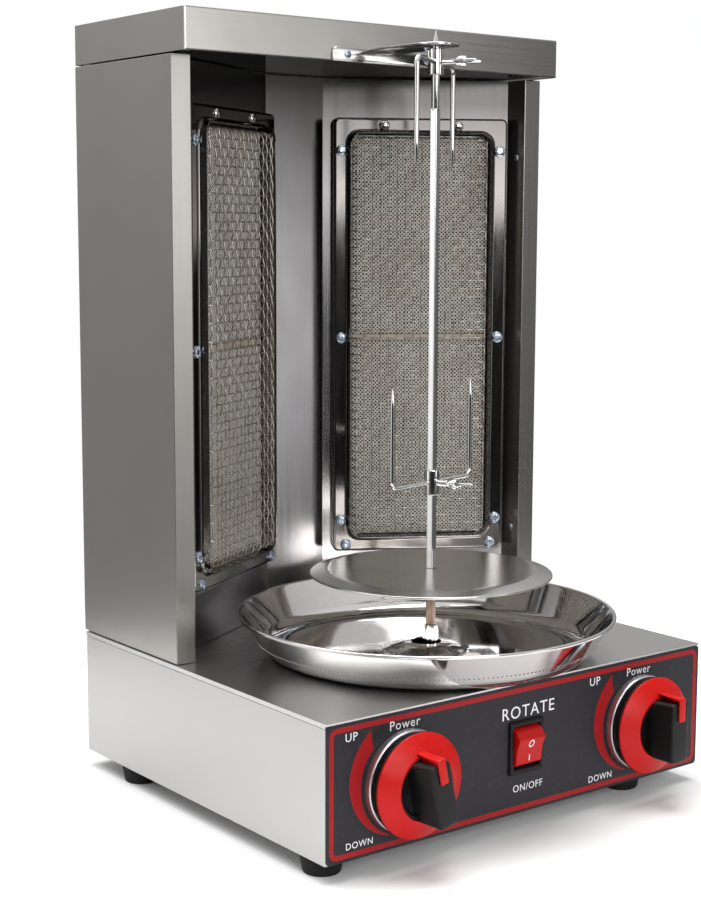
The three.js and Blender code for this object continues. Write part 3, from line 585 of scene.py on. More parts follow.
@dataclass(frozen=True)
class HeatTinted(Stainless):
    """Bright stainless by the burners, browned with straw and blue bands where it runs hottest.

    Attributes:
        hood_shade: how far the colour turns dark towards the top, as painted shade under the hood.
        hood_shade_heights: heights in metres where the painted shade starts and is full.
    """

    hood_shade: float = 0.0
    hood_shade_heights: tuple[float, float] = (0.3, 0.5)

    def build(self, tree: Tree, shader: Any) -> None:
        """The stainless nodes, their colour turned to straw and blue in patches and to painted hood shade
        at the top.
        """
        super().build(tree, shader)
        under = shader.inputs["Base Color"].links[0].from_socket
        patch = self.noise(tree, (45, 45, 120), 2)
        straw = self.mixed(tree, self.ranged(tree, patch, 0, 0.3, 0.5, 0.72), under, colour("#a3937c"))
        blue = self.mixed(tree, self.ranged(tree, patch, 0, 0.25, 0.66, 0.8), straw, colour("#6d7896"))
        # Painted shade: the colour turns dark grey towards the top, where the hood shades the liner and
        # the pans.
        if self.hood_shade:
            place = shade(tree, "TexCoord").outputs["Object"]
            height = shade(tree, "SeparateXYZ", {0: place}).outputs["Z"]
            amount = self.ranged(tree, height, 0, self.hood_shade, *self.hood_shade_heights)
            blue = self.mixed(tree, amount, blue, colour("#3c3a39"))
        feed(tree, shader, {"Base Color": blue})


@dataclass(frozen=True)
class Moulded(Finish):
    """Moulded plastic or rubber with a fine spark-eroded texture that breaks up its shine.

    Attributes:
        grain: size of the texture in millimetres; the real one is near 0.1.
        depth: its depth in millimetres.
        worn: colour of the faint lighter scuffs.
        wear: their greatest strength.
        glow: share of light that goes in and comes out again, for thin coloured plastic.
    """

    grain: float = 0.5
    depth: float = 0.01
    worn: str = "#4a4a4a"
    wear: float = 0.25
    glow: float = 0.0

    def build(self, tree: Tree, shader: Any) -> None:
        """Texture into bump, scuffs into colour and roughness."""
        fine = self.noise(tree, (self.grain,) * 3, 2)
        scuff = self.noise(tree, (14, 14, 9), 5)
        amount = self.ranged(tree, scuff, 0, self.wear, 0.56, 0.78)
        base = self.mixed(tree, amount, colour(self.colour), colour(self.worn))
        rough = self.ranged(tree, scuff, self.roughness - 0.05, self.roughness + 0.1)
        feed(tree, shader, {"Base Color": base, "Roughness": rough, "Specular IOR Level": 0.25,
                            "Normal": self.bumped(tree, fine, self.depth)})
        if self.glow:
            feed(tree, shader, {"Subsurface Weight": self.glow, "Subsurface Scale": 1.0,
                                "Subsurface Radius": (0.004, 0.0012, 0.0008)})


@dataclass(frozen=True)
class Plaque(Finish):
    """Pressed cordierite burner plaque: matt cream, pierced by flame ports.

    The ports are painted as small dark dots, the painted shade inside the holes, with a soft rim;
    heat leaves brown patches. The pattern follows the piece's own map, in millimetres.

    Attributes:
        pitch: from port to port in millimetres.
        port: a port's radius as a share of the pitch.
        port_depth: depth of a port's rim in millimetres.
    """

    pitch: float = 2.1
    port: float = 0.32
    port_depth: float = 0.5

    def build(self, tree: Tree, shader: Any) -> None:
        """Cells of a regular Voronoi pattern give each port; its distance gives the hole's painted shade
        and the rim.
        """
        place = shade(tree, "UVMap", uv_map="Pattern").outputs[0]
        turned = shade(tree, "Mapping", {"Vector": place, "Rotation": (0, 0, math.radians(45)),
                                         "Scale": (1 / self.pitch,) * 3}).outputs[0]
        cells = shade(tree, "TexVoronoi", {"Vector": turned, "Scale": 1.0, "Randomness": 0.0})
        away = cells.outputs["Distance"]
        # The dark port colour is painted shade inside the holes.
        hole = self.ranged(tree, away, 1, 0, self.port - 0.06, self.port + 0.06)
        brown = self.ranged(tree, self.noise(tree, (30, 30, 40), 3), 0, 0.5, 0.45, 0.7)
        body = self.mixed(tree, brown, colour(self.colour), colour("#c9bdaa"))
        base = self.mixed(tree, hole, body, colour("#1c1713"))
        rim = self.ranged(tree, away, 0, 1, 0.2, 0.45)
        feed(tree, shader, {"Base Color": base, "Specular IOR Level": 0.2,
                            "Normal": self.bumped(tree, rim, self.port_depth)})


@dataclass(frozen=True)
class CastOrPlated(Finish):
    """Metal of the inner pieces: cast, machined, plated or painted, told apart by its settings.

    Attributes:
        metal: 1 for bare or plated metal, 0 for paint.
        second: colour of the blotches, such as tarnish, spangle or flux.
        blotch: their size in millimetres.
        depth: depth of the surface's texture in millimetres.
    """

    metal: float = 1.0
    second: str = "#777777"
    blotch: float = 6
    depth: float = 0.02

    def build(self, tree: Tree, shader: Any) -> None:
        """Blotches into colour and roughness, fine noise into bump."""
        blot = self.noise(tree, (self.blotch,) * 3, 3)
        base = self.mixed(tree, self.ranged(tree, blot, 0, 0.8), colour(self.colour), colour(self.second))
        rough = self.ranged(tree, blot, self.roughness - 0.06, self.roughness + 0.12)
        fine = self.noise(tree, (0.8, 0.8, 0.8), 2)
        feed(tree, shader, {"Base Color": base, "Roughness": rough, "Metallic": self.metal,
                            "Normal": self.bumped(tree, fine, self.depth)})


@dataclass(frozen=True)
class Film(Finish):
    """Printed polyester film, back printed, so the colour lies under a satin face.

    The face has a fine leathery texture and a little dust; the ink is even.

    Attributes:
        dust: the dust's colour.
        leather: depth of the face's texture in millimetres.
    """

    dust: str = "#8a8890"
    leather: float = 0.006

    def build(self, tree: Tree, shader: Any) -> None:
        """Dust into colour, leathery noise into roughness and bump."""
        fine = self.noise(tree, (0.9, 0.9, 0.9), 3)
        dust = self.noise(tree, (5, 5, 5), 6)
        amount = self.ranged(tree, dust, 0, 0.05, 0.55, 0.8)
        base = self.mixed(tree, amount, colour(self.colour), colour(self.dust))
        rough = self.ranged(tree, fine, self.roughness - 0.04, self.roughness + 0.06)
        feed(tree, shader, {"Base Color": base, "Roughness": rough, "Specular IOR Level": 0.3,
                            "Normal": self.bumped(tree, fine, self.leather)})


WALL_SLOPE = math.atan(73.4 / 125.9)  # plan angle of the burner walls
BRIGHT = Stainless("polished stainless", "stainless_polished", "#d6d5d4", 0.1, (3, 3, 3), 0, 0.0002,
                   0.03, "#a6a4a2", 0.25, 40)
BEZEL = Stainless("satin spun stainless", "stainless_polished", "#cdc9cc", 0.33, (2, 2, 2), 0, 0.0004,
                  0.03, "#a6a4a4", 0.2, 30)
CHROME = Stainless("bright drawn stainless rod", "stainless_polished", "#dcdbda", 0.1, (1.2, 1.2, 40),
                   0, 0.0004, 0.03, "#a09e9b", 0.2, 30)
# The rod's foot under the disc is darkened brown: painted shade under the disc.
SHADED_ROD = Stainless("fat browned steel rod", "stainless_polished", "#6f6054", 0.3, (1.2, 1.2, 8), 0,
                    0.001, 0.05, "#3d3028", 0.8, 7)
TRAY = Stainless("deep drawn mirror stainless", "stainless_polished", "#d4d2d1", 0.06, (9, 9, 9), 0,
                 0.0001, 0.02, "#b0adaa", 0.2, 50)
DISC = Stainless("linished stainless disc", "stainless_brushed", "#c6c4c1", 0.22, (2.4, 70, 2.4), 0,
                 0.0004, 0.02, "#8f8c88", 0.3, 45)
TOWER = Stainless("linished stainless tower", "stainless_brushed", "#aba8a4", 0.25, (1.1, 1.1, 160), 0,
                  0.0004, 0.014, "#928e89", 0.25, 110, 0.1)
HOOD = Stainless("linished stainless hood", "stainless_brushed", "#b1aeaa", 0.24, (160, 1.1, 1.1), 0,
                 0.0004, 0.02, "#928e89", 0.25, 90, 0.08)
LID = Stainless("linished stainless lid", "stainless_brushed", "#c6c5c3", 0.28, (160, 2.2, 2.2), 0,
                0.0003, 0.01, "#b4b2b0", 0.25, 80, 0.05)
BASE = Stainless("linished stainless base", "stainless_brushed", "#bbbab9", 0.34, (1.1, 160, 1.1), 0,
                 0.0004, 0.015, "#bab8b6", 0.25, 45, 0.08)
# The liner and the pressed pans turn dark towards the top: painted shade under the hood.
LINER = HeatTinted("annealed stainless liner", "stainless_heat_tinted", "#bbb9bb", 0.17, (1.5, 1.5, 120),
                   0, 0.0003, 0.03, "#8f8c8b", 0.3, 80, 0.12, 0.97)
PAN = HeatTinted("pressed bright stainless pan", "stainless_heat_tinted", "#8f8c8a", 0.09, (6, 6, 40),
                 0, 0.0002, 0.02, "#5b5753", 0.3, 40, hood_shade=0.92)
CLOTH = HeatTinted("woven heat-browned nickel wire", "nickel_wire", "#bab2a8", 0.34, (2, 2, 2), 0, 0.001,
                   0.06, "#4d443d", 0.6, 18)
CREAM = Plaque("pressed cordierite", "burner_ceramic", "#efece6", 0.9)
ZINC = CastOrPlated("blue zinc plate", "zinc_plate", "#c3cad3", 0.22, 1.0, "#9aa6b8", 5, 0.004)
ALUMINISED = CastOrPlated("hot dipped aluminised steel", "aluminised_steel", "#b2b1ae", 0.42, 1.0,
                          "#8f8e8b", 9, 0.02)
SEAM = CastOrPlated("heat browned seam strip", "aluminised_steel", "#cfc6ba", 0.6, 0.2, "#b3a898",
                    6, 0.02)
BRASS = CastOrPlated("turned brass", "brass", "#b8913f", 0.3, 1.0, "#8f7034", 7, 0.01)
IRON = CastOrPlated("stoved grey paint on iron", "painted_iron", "#3d3d40", 0.6, 0.0, "#2c2c2f", 12, 0.05)
CHARCOAL = Film("charcoal printed film", "panel_overlay", "#211f25", 0.5)
RED_INK = Film("red printed film", "panel_overlay", "#98060d", 0.5, "#a83038")
WHITE_INK = Film("white printed film", "panel_overlay", "#e8e8ea", 0.45, "#c8c8cc")
BLACK = Moulded("black phenolic moulding", "black_plastic", "#09090a", 0.42, worn="#3a3a3c", wear=0.3)
RED = Moulded("red acrylic moulding", "red_plastic", "#b80602", 0.36, grain=0.8, depth=0.004,
              worn="#d8503f", wear=0.1, glow=0.15)
ROCKER_RED = Moulded("red nylon moulding", "red_plastic", "#b40a08", 0.34, grain=0.6, depth=0.004,
                     worn="#ee5a4a", wear=0.15, glow=0.1)
RUBBER = Moulded("black moulded rubber", "foot_rubber", "#171717", 0.75, grain=0.9, depth=0.03,
                 worn="#3c3a37", wear=0.5)


# Soft panels of the room: direction, how narrow, and strength (below zero for the dark ones).
ROOM_PANELS = (((0.494, -0.868, 0.05), 80.0, 2.9), ((-0.978, 0.204, 0.04), 20.0, 1.3),
               ((-0.5, 0.85, 0.1), 1.5, 0.27), ((-0.45, -0.89, 0.05), 9.0, -0.26),
               ((0.695, -0.719, 0.05), 80.0, -1.1))


# ------------------------------------------------------------------------------ the object
BACK_SCREW = cross_head(3.2, 1.8).stood(*BACK)


@dataclass
class Base:
    """The box that everything stands on: folded shell, lid, bottom, feet and their fixings."""

    foot_top: float = 14.5
    foot_bottom: float = 12.5
    edge_screws: tuple[float, float] = (-150, 150)
    top_screws: tuple[float, float] = (-60, 60)

    def build(self) -> None:
        """Dresses the sheets and makes the feet and the screws at the back."""
        dress(BASE, "base_shell", "base_bottom")
        dress(LID, "base_lid")
        soften("base_shell", 0.8)
        soften("base_lid", 0.6)
        for word in ("front_left", "front_right", "back_left", "back_right"):
            self.foot(f"foot_{word}")
        self.back_screws()

    def foot(self, node: str) -> None:
        """A tapered rubber foot with rounded edges, in place of its CAD node."""
        middle, top = centre_of(node), high_of(node)[2]
        corners = [(0, 0), (self.foot_bottom - 0.6, 0), (self.foot_bottom, 1), (self.foot_top, top),
                   (0, top)]
        shape = lathe(rounded(corners, [0.5, 0.8, 1.2], 5), 56)
        put(f"rubber_{node}", shape.placed(0, (middle[0], middle[1], 0)), RUBBER, "base", (node,))

    def back_screws(self) -> None:
        """Cross-headed screws that hold the shell's back, on the shell's back face."""
        low, high = low_of("base_shell"), high_of("base_shell")
        heads = [(x, high[1], z) for x in self.edge_screws for z in (low[2] + 16, high[2] - 14)]
        heads += [(x, high[1], high[2] - 10) for x in self.top_screws]
        put("base_back_screws", copies(BACK_SCREW, heads), ZINC, "base")


@dataclass
class ControlPanel:
    """The printed front: border line, sweep arrows, function words."""

    border_inset: float = 2.1
    border: float = 3.4
    border_corner: float = 6
    arrow_middle: tuple[float, float] = (107.4, 58.0)
    sweep: tuple[float, float] = (128, 250)
    ink: float = 0.06

    def front(self) -> float:
        """Y of the film's face, in millimetres."""
        return low_of("control_panel")[1]

    def build(self) -> None:
        """Dresses the film and lays the print on it."""
        dress(CHARCOAL, "control_panel")
        self.border_line()
        for side in Side:
            self.arrow(side)
        self.words()

    def printed(self, name: str, flat: Surface, finish: Finish) -> None:
        """A flat print drawn in X and Y, stood on the film's face."""
        stood = flat.stood(*FRONT, (0, self.front(), 0))
        put(name, stood, finish, "base", crease=60)

    def border_line(self) -> None:
        """The red line: a band between two round-cornered rectangles."""
        low, high = low_of("control_panel"), high_of("control_panel")
        middle = (high[2] + low[2]) / 2
        outer = (-2 * self.border_inset, self.border_corner)
        inner = (-2 * (self.border_inset + self.border), self.border_corner - self.border)
        rings = [(*outer, 0), (*outer, self.ink), (*inner, self.ink), (*inner, 0)]
        band = ring_stack(nested((high - low)[[0, 2]], rings), closed=True)
        self.printed("printed_border", band.placed(0, (0, middle, 0)), RED_INK)

    def arrow(self, side: Side) -> None:
        """A sweep arrow beside a knob.

        Band between two radii over the sweep's angles. Both radii follow their stated points; they
        meet in the tip at the top, and the band thins out towards the bottom.
        """
        angle = np.linspace(*self.sweep, 90)
        outer = np.interp(angle, [128, 160, 180, 197, 222, 250], [45.2, 45.3, 44.8, 43.3, 40.9, 38.2])
        inner = np.interp(angle, [128, 138, 160, 250], [45.0, 34.6, 35.6, 37.2])
        ring = np.stack([outer, outer, inner, inner], -1)
        level = np.broadcast_to([0, self.ink, self.ink, 0], ring.shape)
        turn = np.radians(angle)[:, None]
        places = np.stack([ring * np.cos(turn), ring * np.sin(turn), level], -1)
        band = closed_ends(grid(places, wrap_columns=True), 4)
        x = side.value * self.arrow_middle[0]
        self.printed(f"printed_arrow_{side.word}", band.placed(0, (x, self.arrow_middle[1], 0)), RED_INK)

    def words(self) -> None:
        """Plain function words, each (word, middle x, middle z, width)."""
        rows = [("ROTATE", -0.3, 83, 47.6), ("ON/OFF", 0, 30, 27), ("UP", 62.8, 92, 10),
                ("DOWN", 69.8, 22, 22.7), ("Power", 106.6, 93, 23.8), ("Power", -107.8, 93, 24.6),
                ("UP", -150.6, 92, 9.4), ("DOWN", -144.2, 22, 21.1)]
        for index, (word, x, z, width) in enumerate(rows):
            self.word(f"printed_word_{index}", word, x, z, width)

    def word(self, name: str, word: str, x: float, z: float, width: float) -> None:
        """One word in the built-in plain face, made a mesh and then placed.

        Args:
            name: the piece's name.
            word: the letters.
            x: middle of the word.
            z: middle of the word's height.
            width: its length in millimetres.
        """
        curve = bpy.data.curves.new(name, "FONT")
        curve.body = word
        curve.extrude = 0.5
        curve.resolution_u = 3
        curve.space_character = 1.12
        holder = bpy.data.objects.new(name + "_curve", curve)
        bpy.context.collection.objects.link(holder)
        mesh = holder.evaluated_get(bpy.context.evaluated_depsgraph_get()).to_mesh()
        points = np.empty(len(mesh.vertices) * 3, np.float32)
        mesh.vertices.foreach_get("co", points)
        points = points.reshape(-1, 3).astype(float)
        faces = [list(p.vertices) for p in mesh.polygons]
        bpy.data.objects.remove(holder)
        low, high = points.min(0), points.max(0)
        scale = width / (high[0] - low[0])
        flat = (points - (low + high) / 2) * [scale, scale, self.ink] + [x, z, self.ink / 2]
        self.printed(name, Surface(flat, faces), WHITE_INK)


@dataclass
class Knob:
    """One gas knob: silver bezel, black skirt, red ring, grip and the red pointer over it."""

    side: Side
    rest_turn: float = 0.0
    radius: float = 34.5
    ring_inner: float = 21.0
    ring_depth: float = 8.3
    ring_sheet: float = 1.6
    back: float = 11.4
    skirt: float = 2.0
    ring_back: float = 13.6
    grip_half: float = 7.8
    grip_top: float = 39.5
    grip_reach: float = 22.2
    hook_front: float = 41.2
    hook_over: float = 14
    pointer: tuple[float, float] = (3.0, 2.6)
    bezel_radius: float = 33.6

    def axis(self) -> Array:
        """The knob's axis on the panel's face."""
        middle = centre_of(f"knob_bezel_{self.side.word}")
        return np.array([middle[0], low_of("control_panel")[1], middle[2]])

    def stood(self, part: Surface, turn: float = 0.0) -> Surface:
        """A part drawn with +Z out of the panel, turned about its axis and stood on the panel."""
        angle = math.radians(turn)
        spun = part.placed(angle, (0, 0, 0))
        return spun.stood(*FRONT, self.axis())

    def build(self) -> None:
        """Makes the three pieces."""
        self.bezel()
        self.grip()
        self.ring()

    def bezel(self) -> None:
        """A spun ring with a rounded front edge, open in the middle for the stem."""
        r = self.bezel_radius
        corners = [(8, 0.3), (r, 0.3), (r, 6.3), (r - 9, 6.3), (r - 10, 1.5), (8, 1.5), (8, 0.3)]
        shape = lathe(rounded(corners, [0.3, 1.4, 1.0, 1.0, 0.3], 6), 112)
        put(f"spun_bezel_{self.side.word}", self.stood(shape), BEZEL, "base",
            (f"knob_bezel_{self.side.word}",))

    def grip(self) -> None:
        """Skirt, cone and recess as one turned part, with the tapered bar across it."""
        back, r, inner = self.back, self.radius - 0.3, self.ring_inner - 0.3
        ring_back = back + self.skirt
        cone = ring_back + self.ring_depth - self.ring_sheet
        corners = [(0, back), (r, back), (r, ring_back - 0.2), (r - 2.2, ring_back - 0.2), (inner, cone),
                   (inner - 2, cone), (inner - 3, ring_back + 4), (0, ring_back + 4)]
        dish = lathe(rounded(corners, [0.5, 0.4, 0.3, 0.6, 0.6, 0.8], 4), 112)
        put(f"moulded_grip_{self.side.word}", joined([self.stood(dish), self.bar(ring_back)]), BLACK,
            f"knob_{self.side.word}", (f"knob_grip_{self.side.word}",))

    def bar(self, foot: float) -> Surface:
        """The bar: a tapered section carried across the knob, its ends on a cylinder.

        A point of the section at (x, h) reaches y = +-sqrt(R^2 - x^2), and the section is drawn in
        by up to 1.3 mm over the last steps, so the end edges are round.
        """
        top, half = self.grip_top, self.grip_half
        corners = [(-half - 2.6, foot + 2), (half + 2.6, foot + 2), (half + 1.8, foot + 9), (half, top),
                   (-half, top), (-half - 1.8, foot + 9), (-half - 2.6, foot + 2)]
        section = rounded(corners, [0.3, 3, 1.6, 1.6, 3], 6)[:-1]
        t = np.array([-1, -0.985, -0.95, -0.9, -0.5, 0, 0.5, 0.9, 0.95, 0.985, 1.0])
        inset = np.array([1.3, 0.7, 0.2, 0, 0, 0, 0, 0, 0.2, 0.7, 1.3])
        reach = np.sqrt(self.grip_reach**2 - np.clip(np.abs(section[:, 0]), 0, 12) ** 2)
        shrink = 1 - inset[:, None] / 10
        x = section[None, :, 0] * shrink
        h = section[None, :, 1] - inset[:, None] * (section[None, :, 1] > foot + 12)
        y = t[:, None] * reach[None]
        bar = closed_ends(grid(np.stack([x, y, h], -1), wrap_columns=True), len(section))
        return self.stood(bar, self.rest_turn)

    def ring(self) -> None:
        """The red ring: a hollow cone band, and a hook that runs out and over the grip."""
        back = self.ring_back
        top, sheet, inner, r = back + self.ring_depth, self.ring_sheet, self.ring_inner, self.radius
        corners = [(r - 1.8, back), (r - 0.3, back), (r, back + 1.2), (inner + 1.4, top), (inner, top),
                   (inner, top - sheet), (r - 1.8, back)]
        cone = lathe(rounded(corners, [0.3, 0.8, 1.1, 0.5, 0.3], 5), 112)
        (width, thick), out, front = self.pointer, self.grip_reach + 0.3, self.hook_front
        end = out - self.hook_over
        hook = [(out, top - 1.1), (out + thick, top - 1.1), (out + thick, front), (end, front),
                (end, front - 1.5), (out, front - 1.5), (out, top - 1.1)]
        plate = slab(rounded(hook, [0.3, 1.4, 0.6, 0.3, 0.2], 5)[:-1], 2 * width, 0.5)
        hook_part = plate.stood((0, 1, 0), (0, 0, 1), (1, 0, 0), (-width, 0, 0))
        put(f"red_ring_{self.side.word}",
            joined([self.stood(cone), self.stood(hook_part, self.rest_turn)]), RED,
            f"knob_{self.side.word}", (f"knob_ring_{self.side.word}",))


@dataclass
class RockerSwitch:
    """The rocker switch: a black frame with a pocket, a red rocker and its two white marks."""

    half: tuple[float, float] = (15.5, 18.3)
    pocket: tuple[float, float] = (12.0, 14.5)
    stand: float = 2.5
    depth: float = 18
    tilt: float = 12.0
    pivot_depth: float = 4.5
    rocker_half: float = 11.7
    rocker_radius: float = 14.2
    ridge: tuple[float, float] = (10.5, 9)
    valley: float = 9.2
    mark_up: float = 5.2
    mark_stand: float = 0.12

    def build(self) -> None:
        """Makes the frame, the rocker and the marks."""
        middle = centre_of("switch_housing")
        self.place = np.array([middle[0], low_of("control_panel")[1], middle[2]])
        self.housing()
        self.rocker()

    def housing(self) -> None:
        """A frame round the pocket, one closed ring of rectangles, dished towards the rocker."""
        top, bottom = self.stand, -self.depth
        outside = [(0, 1.6, 0.3), (0, 1.6, 1.2), (-1.2, 1.4, 2.2), (-2.4, 1.2, top)]
        inside = [(2, 0.9, top), (0.4, 0.6, top - 0.5), (0, 0.5, top - 1.4), (0, 0.5, bottom),
                  (2, 1, bottom), (2, 1, 0.3)]
        rings = nested(np.array(self.half) * 2, outside) + nested(np.array(self.pocket) * 2, inside)
        body = ring_stack(rings, closed=True, steps=6)
        put("switch_frame", body.stood(*FRONT, self.place), BLACK, "base",
            ("switch_housing",), crease=50)

    def rocker(self) -> None:
        """A section of arcs and a shallow valley, carried across, tilted about its pivot.

        The section is drawn out of the panel (u) and up (v): two ends on a circle about the pivot,
        two ridges and a valley between them.
        """
        r = self.rocker_radius
        start, end = math.acos(-3 / r), math.acos(6.5 / r)
        arc = np.linspace(start, end, 10)
        top = np.stack([r * np.cos(arc), r * np.sin(arc)], -1)
        out, up = self.ridge
        corners = [top[-1], (out, up), (self.valley, 0), (out, -up), top[-1] * [1, -1]]
        face = rounded(corners, [1.2, 7, 1.2], 9)[1:-1]
        section = np.vstack([top, face, top[::-1] * [1, -1]])
        plate = slab(section[::-1], 2 * self.rocker_half, 0.5)
        lean = math.radians(self.tilt)
        out = np.array([0, -math.cos(lean), -math.sin(lean)])
        up = np.array([0, -math.sin(lean), math.cos(lean)])
        pivot = self.place + [0, self.pivot_depth, 0]
        solid = plate.stood(out, up, (1, 0, 0), pivot - [self.rocker_half, 0, 0])
        put("switch_key", solid, ROCKER_RED, "rocker", ("switch_rocker",), crease=40)
        self.marks(pivot, out, up)

    def marks(self, pivot: Array, out: Array, up: Array) -> None:
        """A ring on the upper half and a bar on the lower half, laid on the sloping faces."""
        rise_out = self.ridge[0] - self.valley
        slope = math.atan2(rise_out, self.ridge[1])
        t = np.linspace(0, 2 * math.pi, 40, endpoint=False)
        ring = np.stack([1.9 * np.cos(t), 2.4 * np.sin(t)], -1)
        rings = np.stack([np.column_stack([ring * s, np.full(40, z)]) for s, z in
                          ((1.25, 0), (1.25, self.mark_stand), (0.85, self.mark_stand), (0.85, 0))])
        nought = grid(rings, wrap_rows=True, wrap_columns=True)
        bar = slab(outline(0.8, 4.4, 0.2, 4), self.mark_stand, 0.03)
        face = self.valley + rise_out * self.mark_up / self.ridge[1] + 0.02
        for name, part, sign in (("switch_mark_off", nought, 1), ("switch_mark_on", bar, -1)):
            lean = math.cos(slope) * out - sign * math.sin(slope) * up
            rise = math.cos(slope) * up + sign * math.sin(slope) * out
            place = pivot + out * face + up * sign * self.mark_up
            put(name, part.stood((1, 0, 0), rise, lean, place), WHITE_INK, "rocker", crease=60)


@dataclass
class Tower:
    """The upright housing: tower sheet, liner behind the burners, hood and ceiling."""

    rivet: float = 2.3
    return_width: float = 15.62
    return_levels: tuple[float, float] = (62, 355)
    back_columns: tuple[float, float, float] = (-155, 0, 155)
    hood_rivet_x: float = 140

    def build(self) -> None:
        """Dresses the sheets and adds the rivets and screws."""
        dress(TOWER, "tower_shell")
        dress(LINER, "heat_shield")
        dress(HOOD, "hood")
        dress(BRIGHT, "ceiling_plate")
        soften("tower_shell", 0.5)
        soften("hood", 1.0)
        self.return_rivets()
        self.back_screws()
        self.hood_rivets()

    def return_rivets(self) -> None:
        """Small domed rivets on the inner faces of the front returns."""
        low, high = low_of("tower_shell"), high_of("tower_shell")
        x, y = high[0] - self.return_width, low[1] + 9
        head = lathe(dome(self.rivet, 1.1, 0.2), 24)
        left = head.stood((0, 1, 0), (0, 0, 1), (1, 0, 0))
        right = head.stood((0, -1, 0), (0, 0, 1), (-1, 0, 0))
        levels = [low[2] + level for level in self.return_levels]
        put("return_rivets_left", copies(left, [(-x, y, z) for z in levels]), ZINC, "base")
        put("return_rivets_right", copies(right, [(x, y, z) for z in levels]), ZINC, "base")

    def back_screws(self) -> None:
        """Cross-headed screws down both edges of the tower's back."""
        low, high = low_of("tower_shell"), high_of("tower_shell")
        levels = np.linspace(low[2] + 25, high[2] - 25, 4)
        places = [(x, high[1], z) for x in self.back_columns for z in levels]
        put("tower_back_screws", copies(BACK_SCREW, places), ZINC, "base")

    def hood_rivets(self) -> None:
        """Low domed rivets on the hood's back fold."""
        low, high = low_of("hood"), high_of("hood")
        places = [(x, high[1], (low[2] + high[2]) / 2) for x in (-self.hood_rivet_x, self.hood_rivet_x)]
        head = lathe(dome(2.6, 1.0, 0.2), 24).stood(*BACK)
        put("hood_rivets", copies(head, places), ZINC, "base")


@dataclass
class SpitBracket:
    """The angle that holds the spit's neck: a riveted flange and a round-ended tongue."""

    half: float = 49
    height: float = 10
    sheet: float = 1.5
    tongue_half: float = 16
    hole: float = 3.4
    bush: float = 5.2
    corner: float = 7
    rivet_x: float = 36

    def build(self, axis: Array) -> None:
        """Makes the bracket and its two rivets.

        Args:
            axis: X and Y of the spit's axis.
        """
        low, high = low_of("spit_bracket"), high_of("spit_bracket")
        back, bottom, top = high[1], low[2], low[2] + self.height
        corners = [(-self.half, 0), (self.half, 0), (self.half, self.height), (-self.half, self.height),
                   (-self.half, 0)]
        shape = rounded(corners, [0.6, self.corner, self.corner], 10)[:-1]
        flange = slab(shape, self.sheet, 0.4).stood(*FRONT, (0, back, bottom))
        reach = back - axis[1]
        t = np.linspace(math.pi, 2 * math.pi, 33)
        end = np.stack([self.tongue_half * np.cos(t), self.tongue_half * np.sin(t)], -1)
        plan = np.vstack([[self.tongue_half, reach - 0.7], [-self.tongue_half, reach - 0.7], end])
        tongue = slab(plan, self.sheet, 0.4).placed(0, (axis[0], axis[1], top - self.sheet))
        hole, bush = self.hole, self.bush
        bead = lathe([(hole, -0.2), (bush, -0.2), (bush, 0.25), (hole, 0.25), (hole, -0.2)], 40)
        bead = bead.placed(0, (axis[0], axis[1], top))
        put("bent_bracket", joined([flange, tongue, bead]), BRIGHT, "base", ("spit_bracket",))
        head = lathe(dome(2.9, 1.2, 0.2), 32).stood(*FRONT)
        places = [(x, back - self.sheet, bottom + 5) for x in (-self.rivet_x, self.rivet_x)]
        put("bracket_rivets", copies(head, places), ZINC, "base")


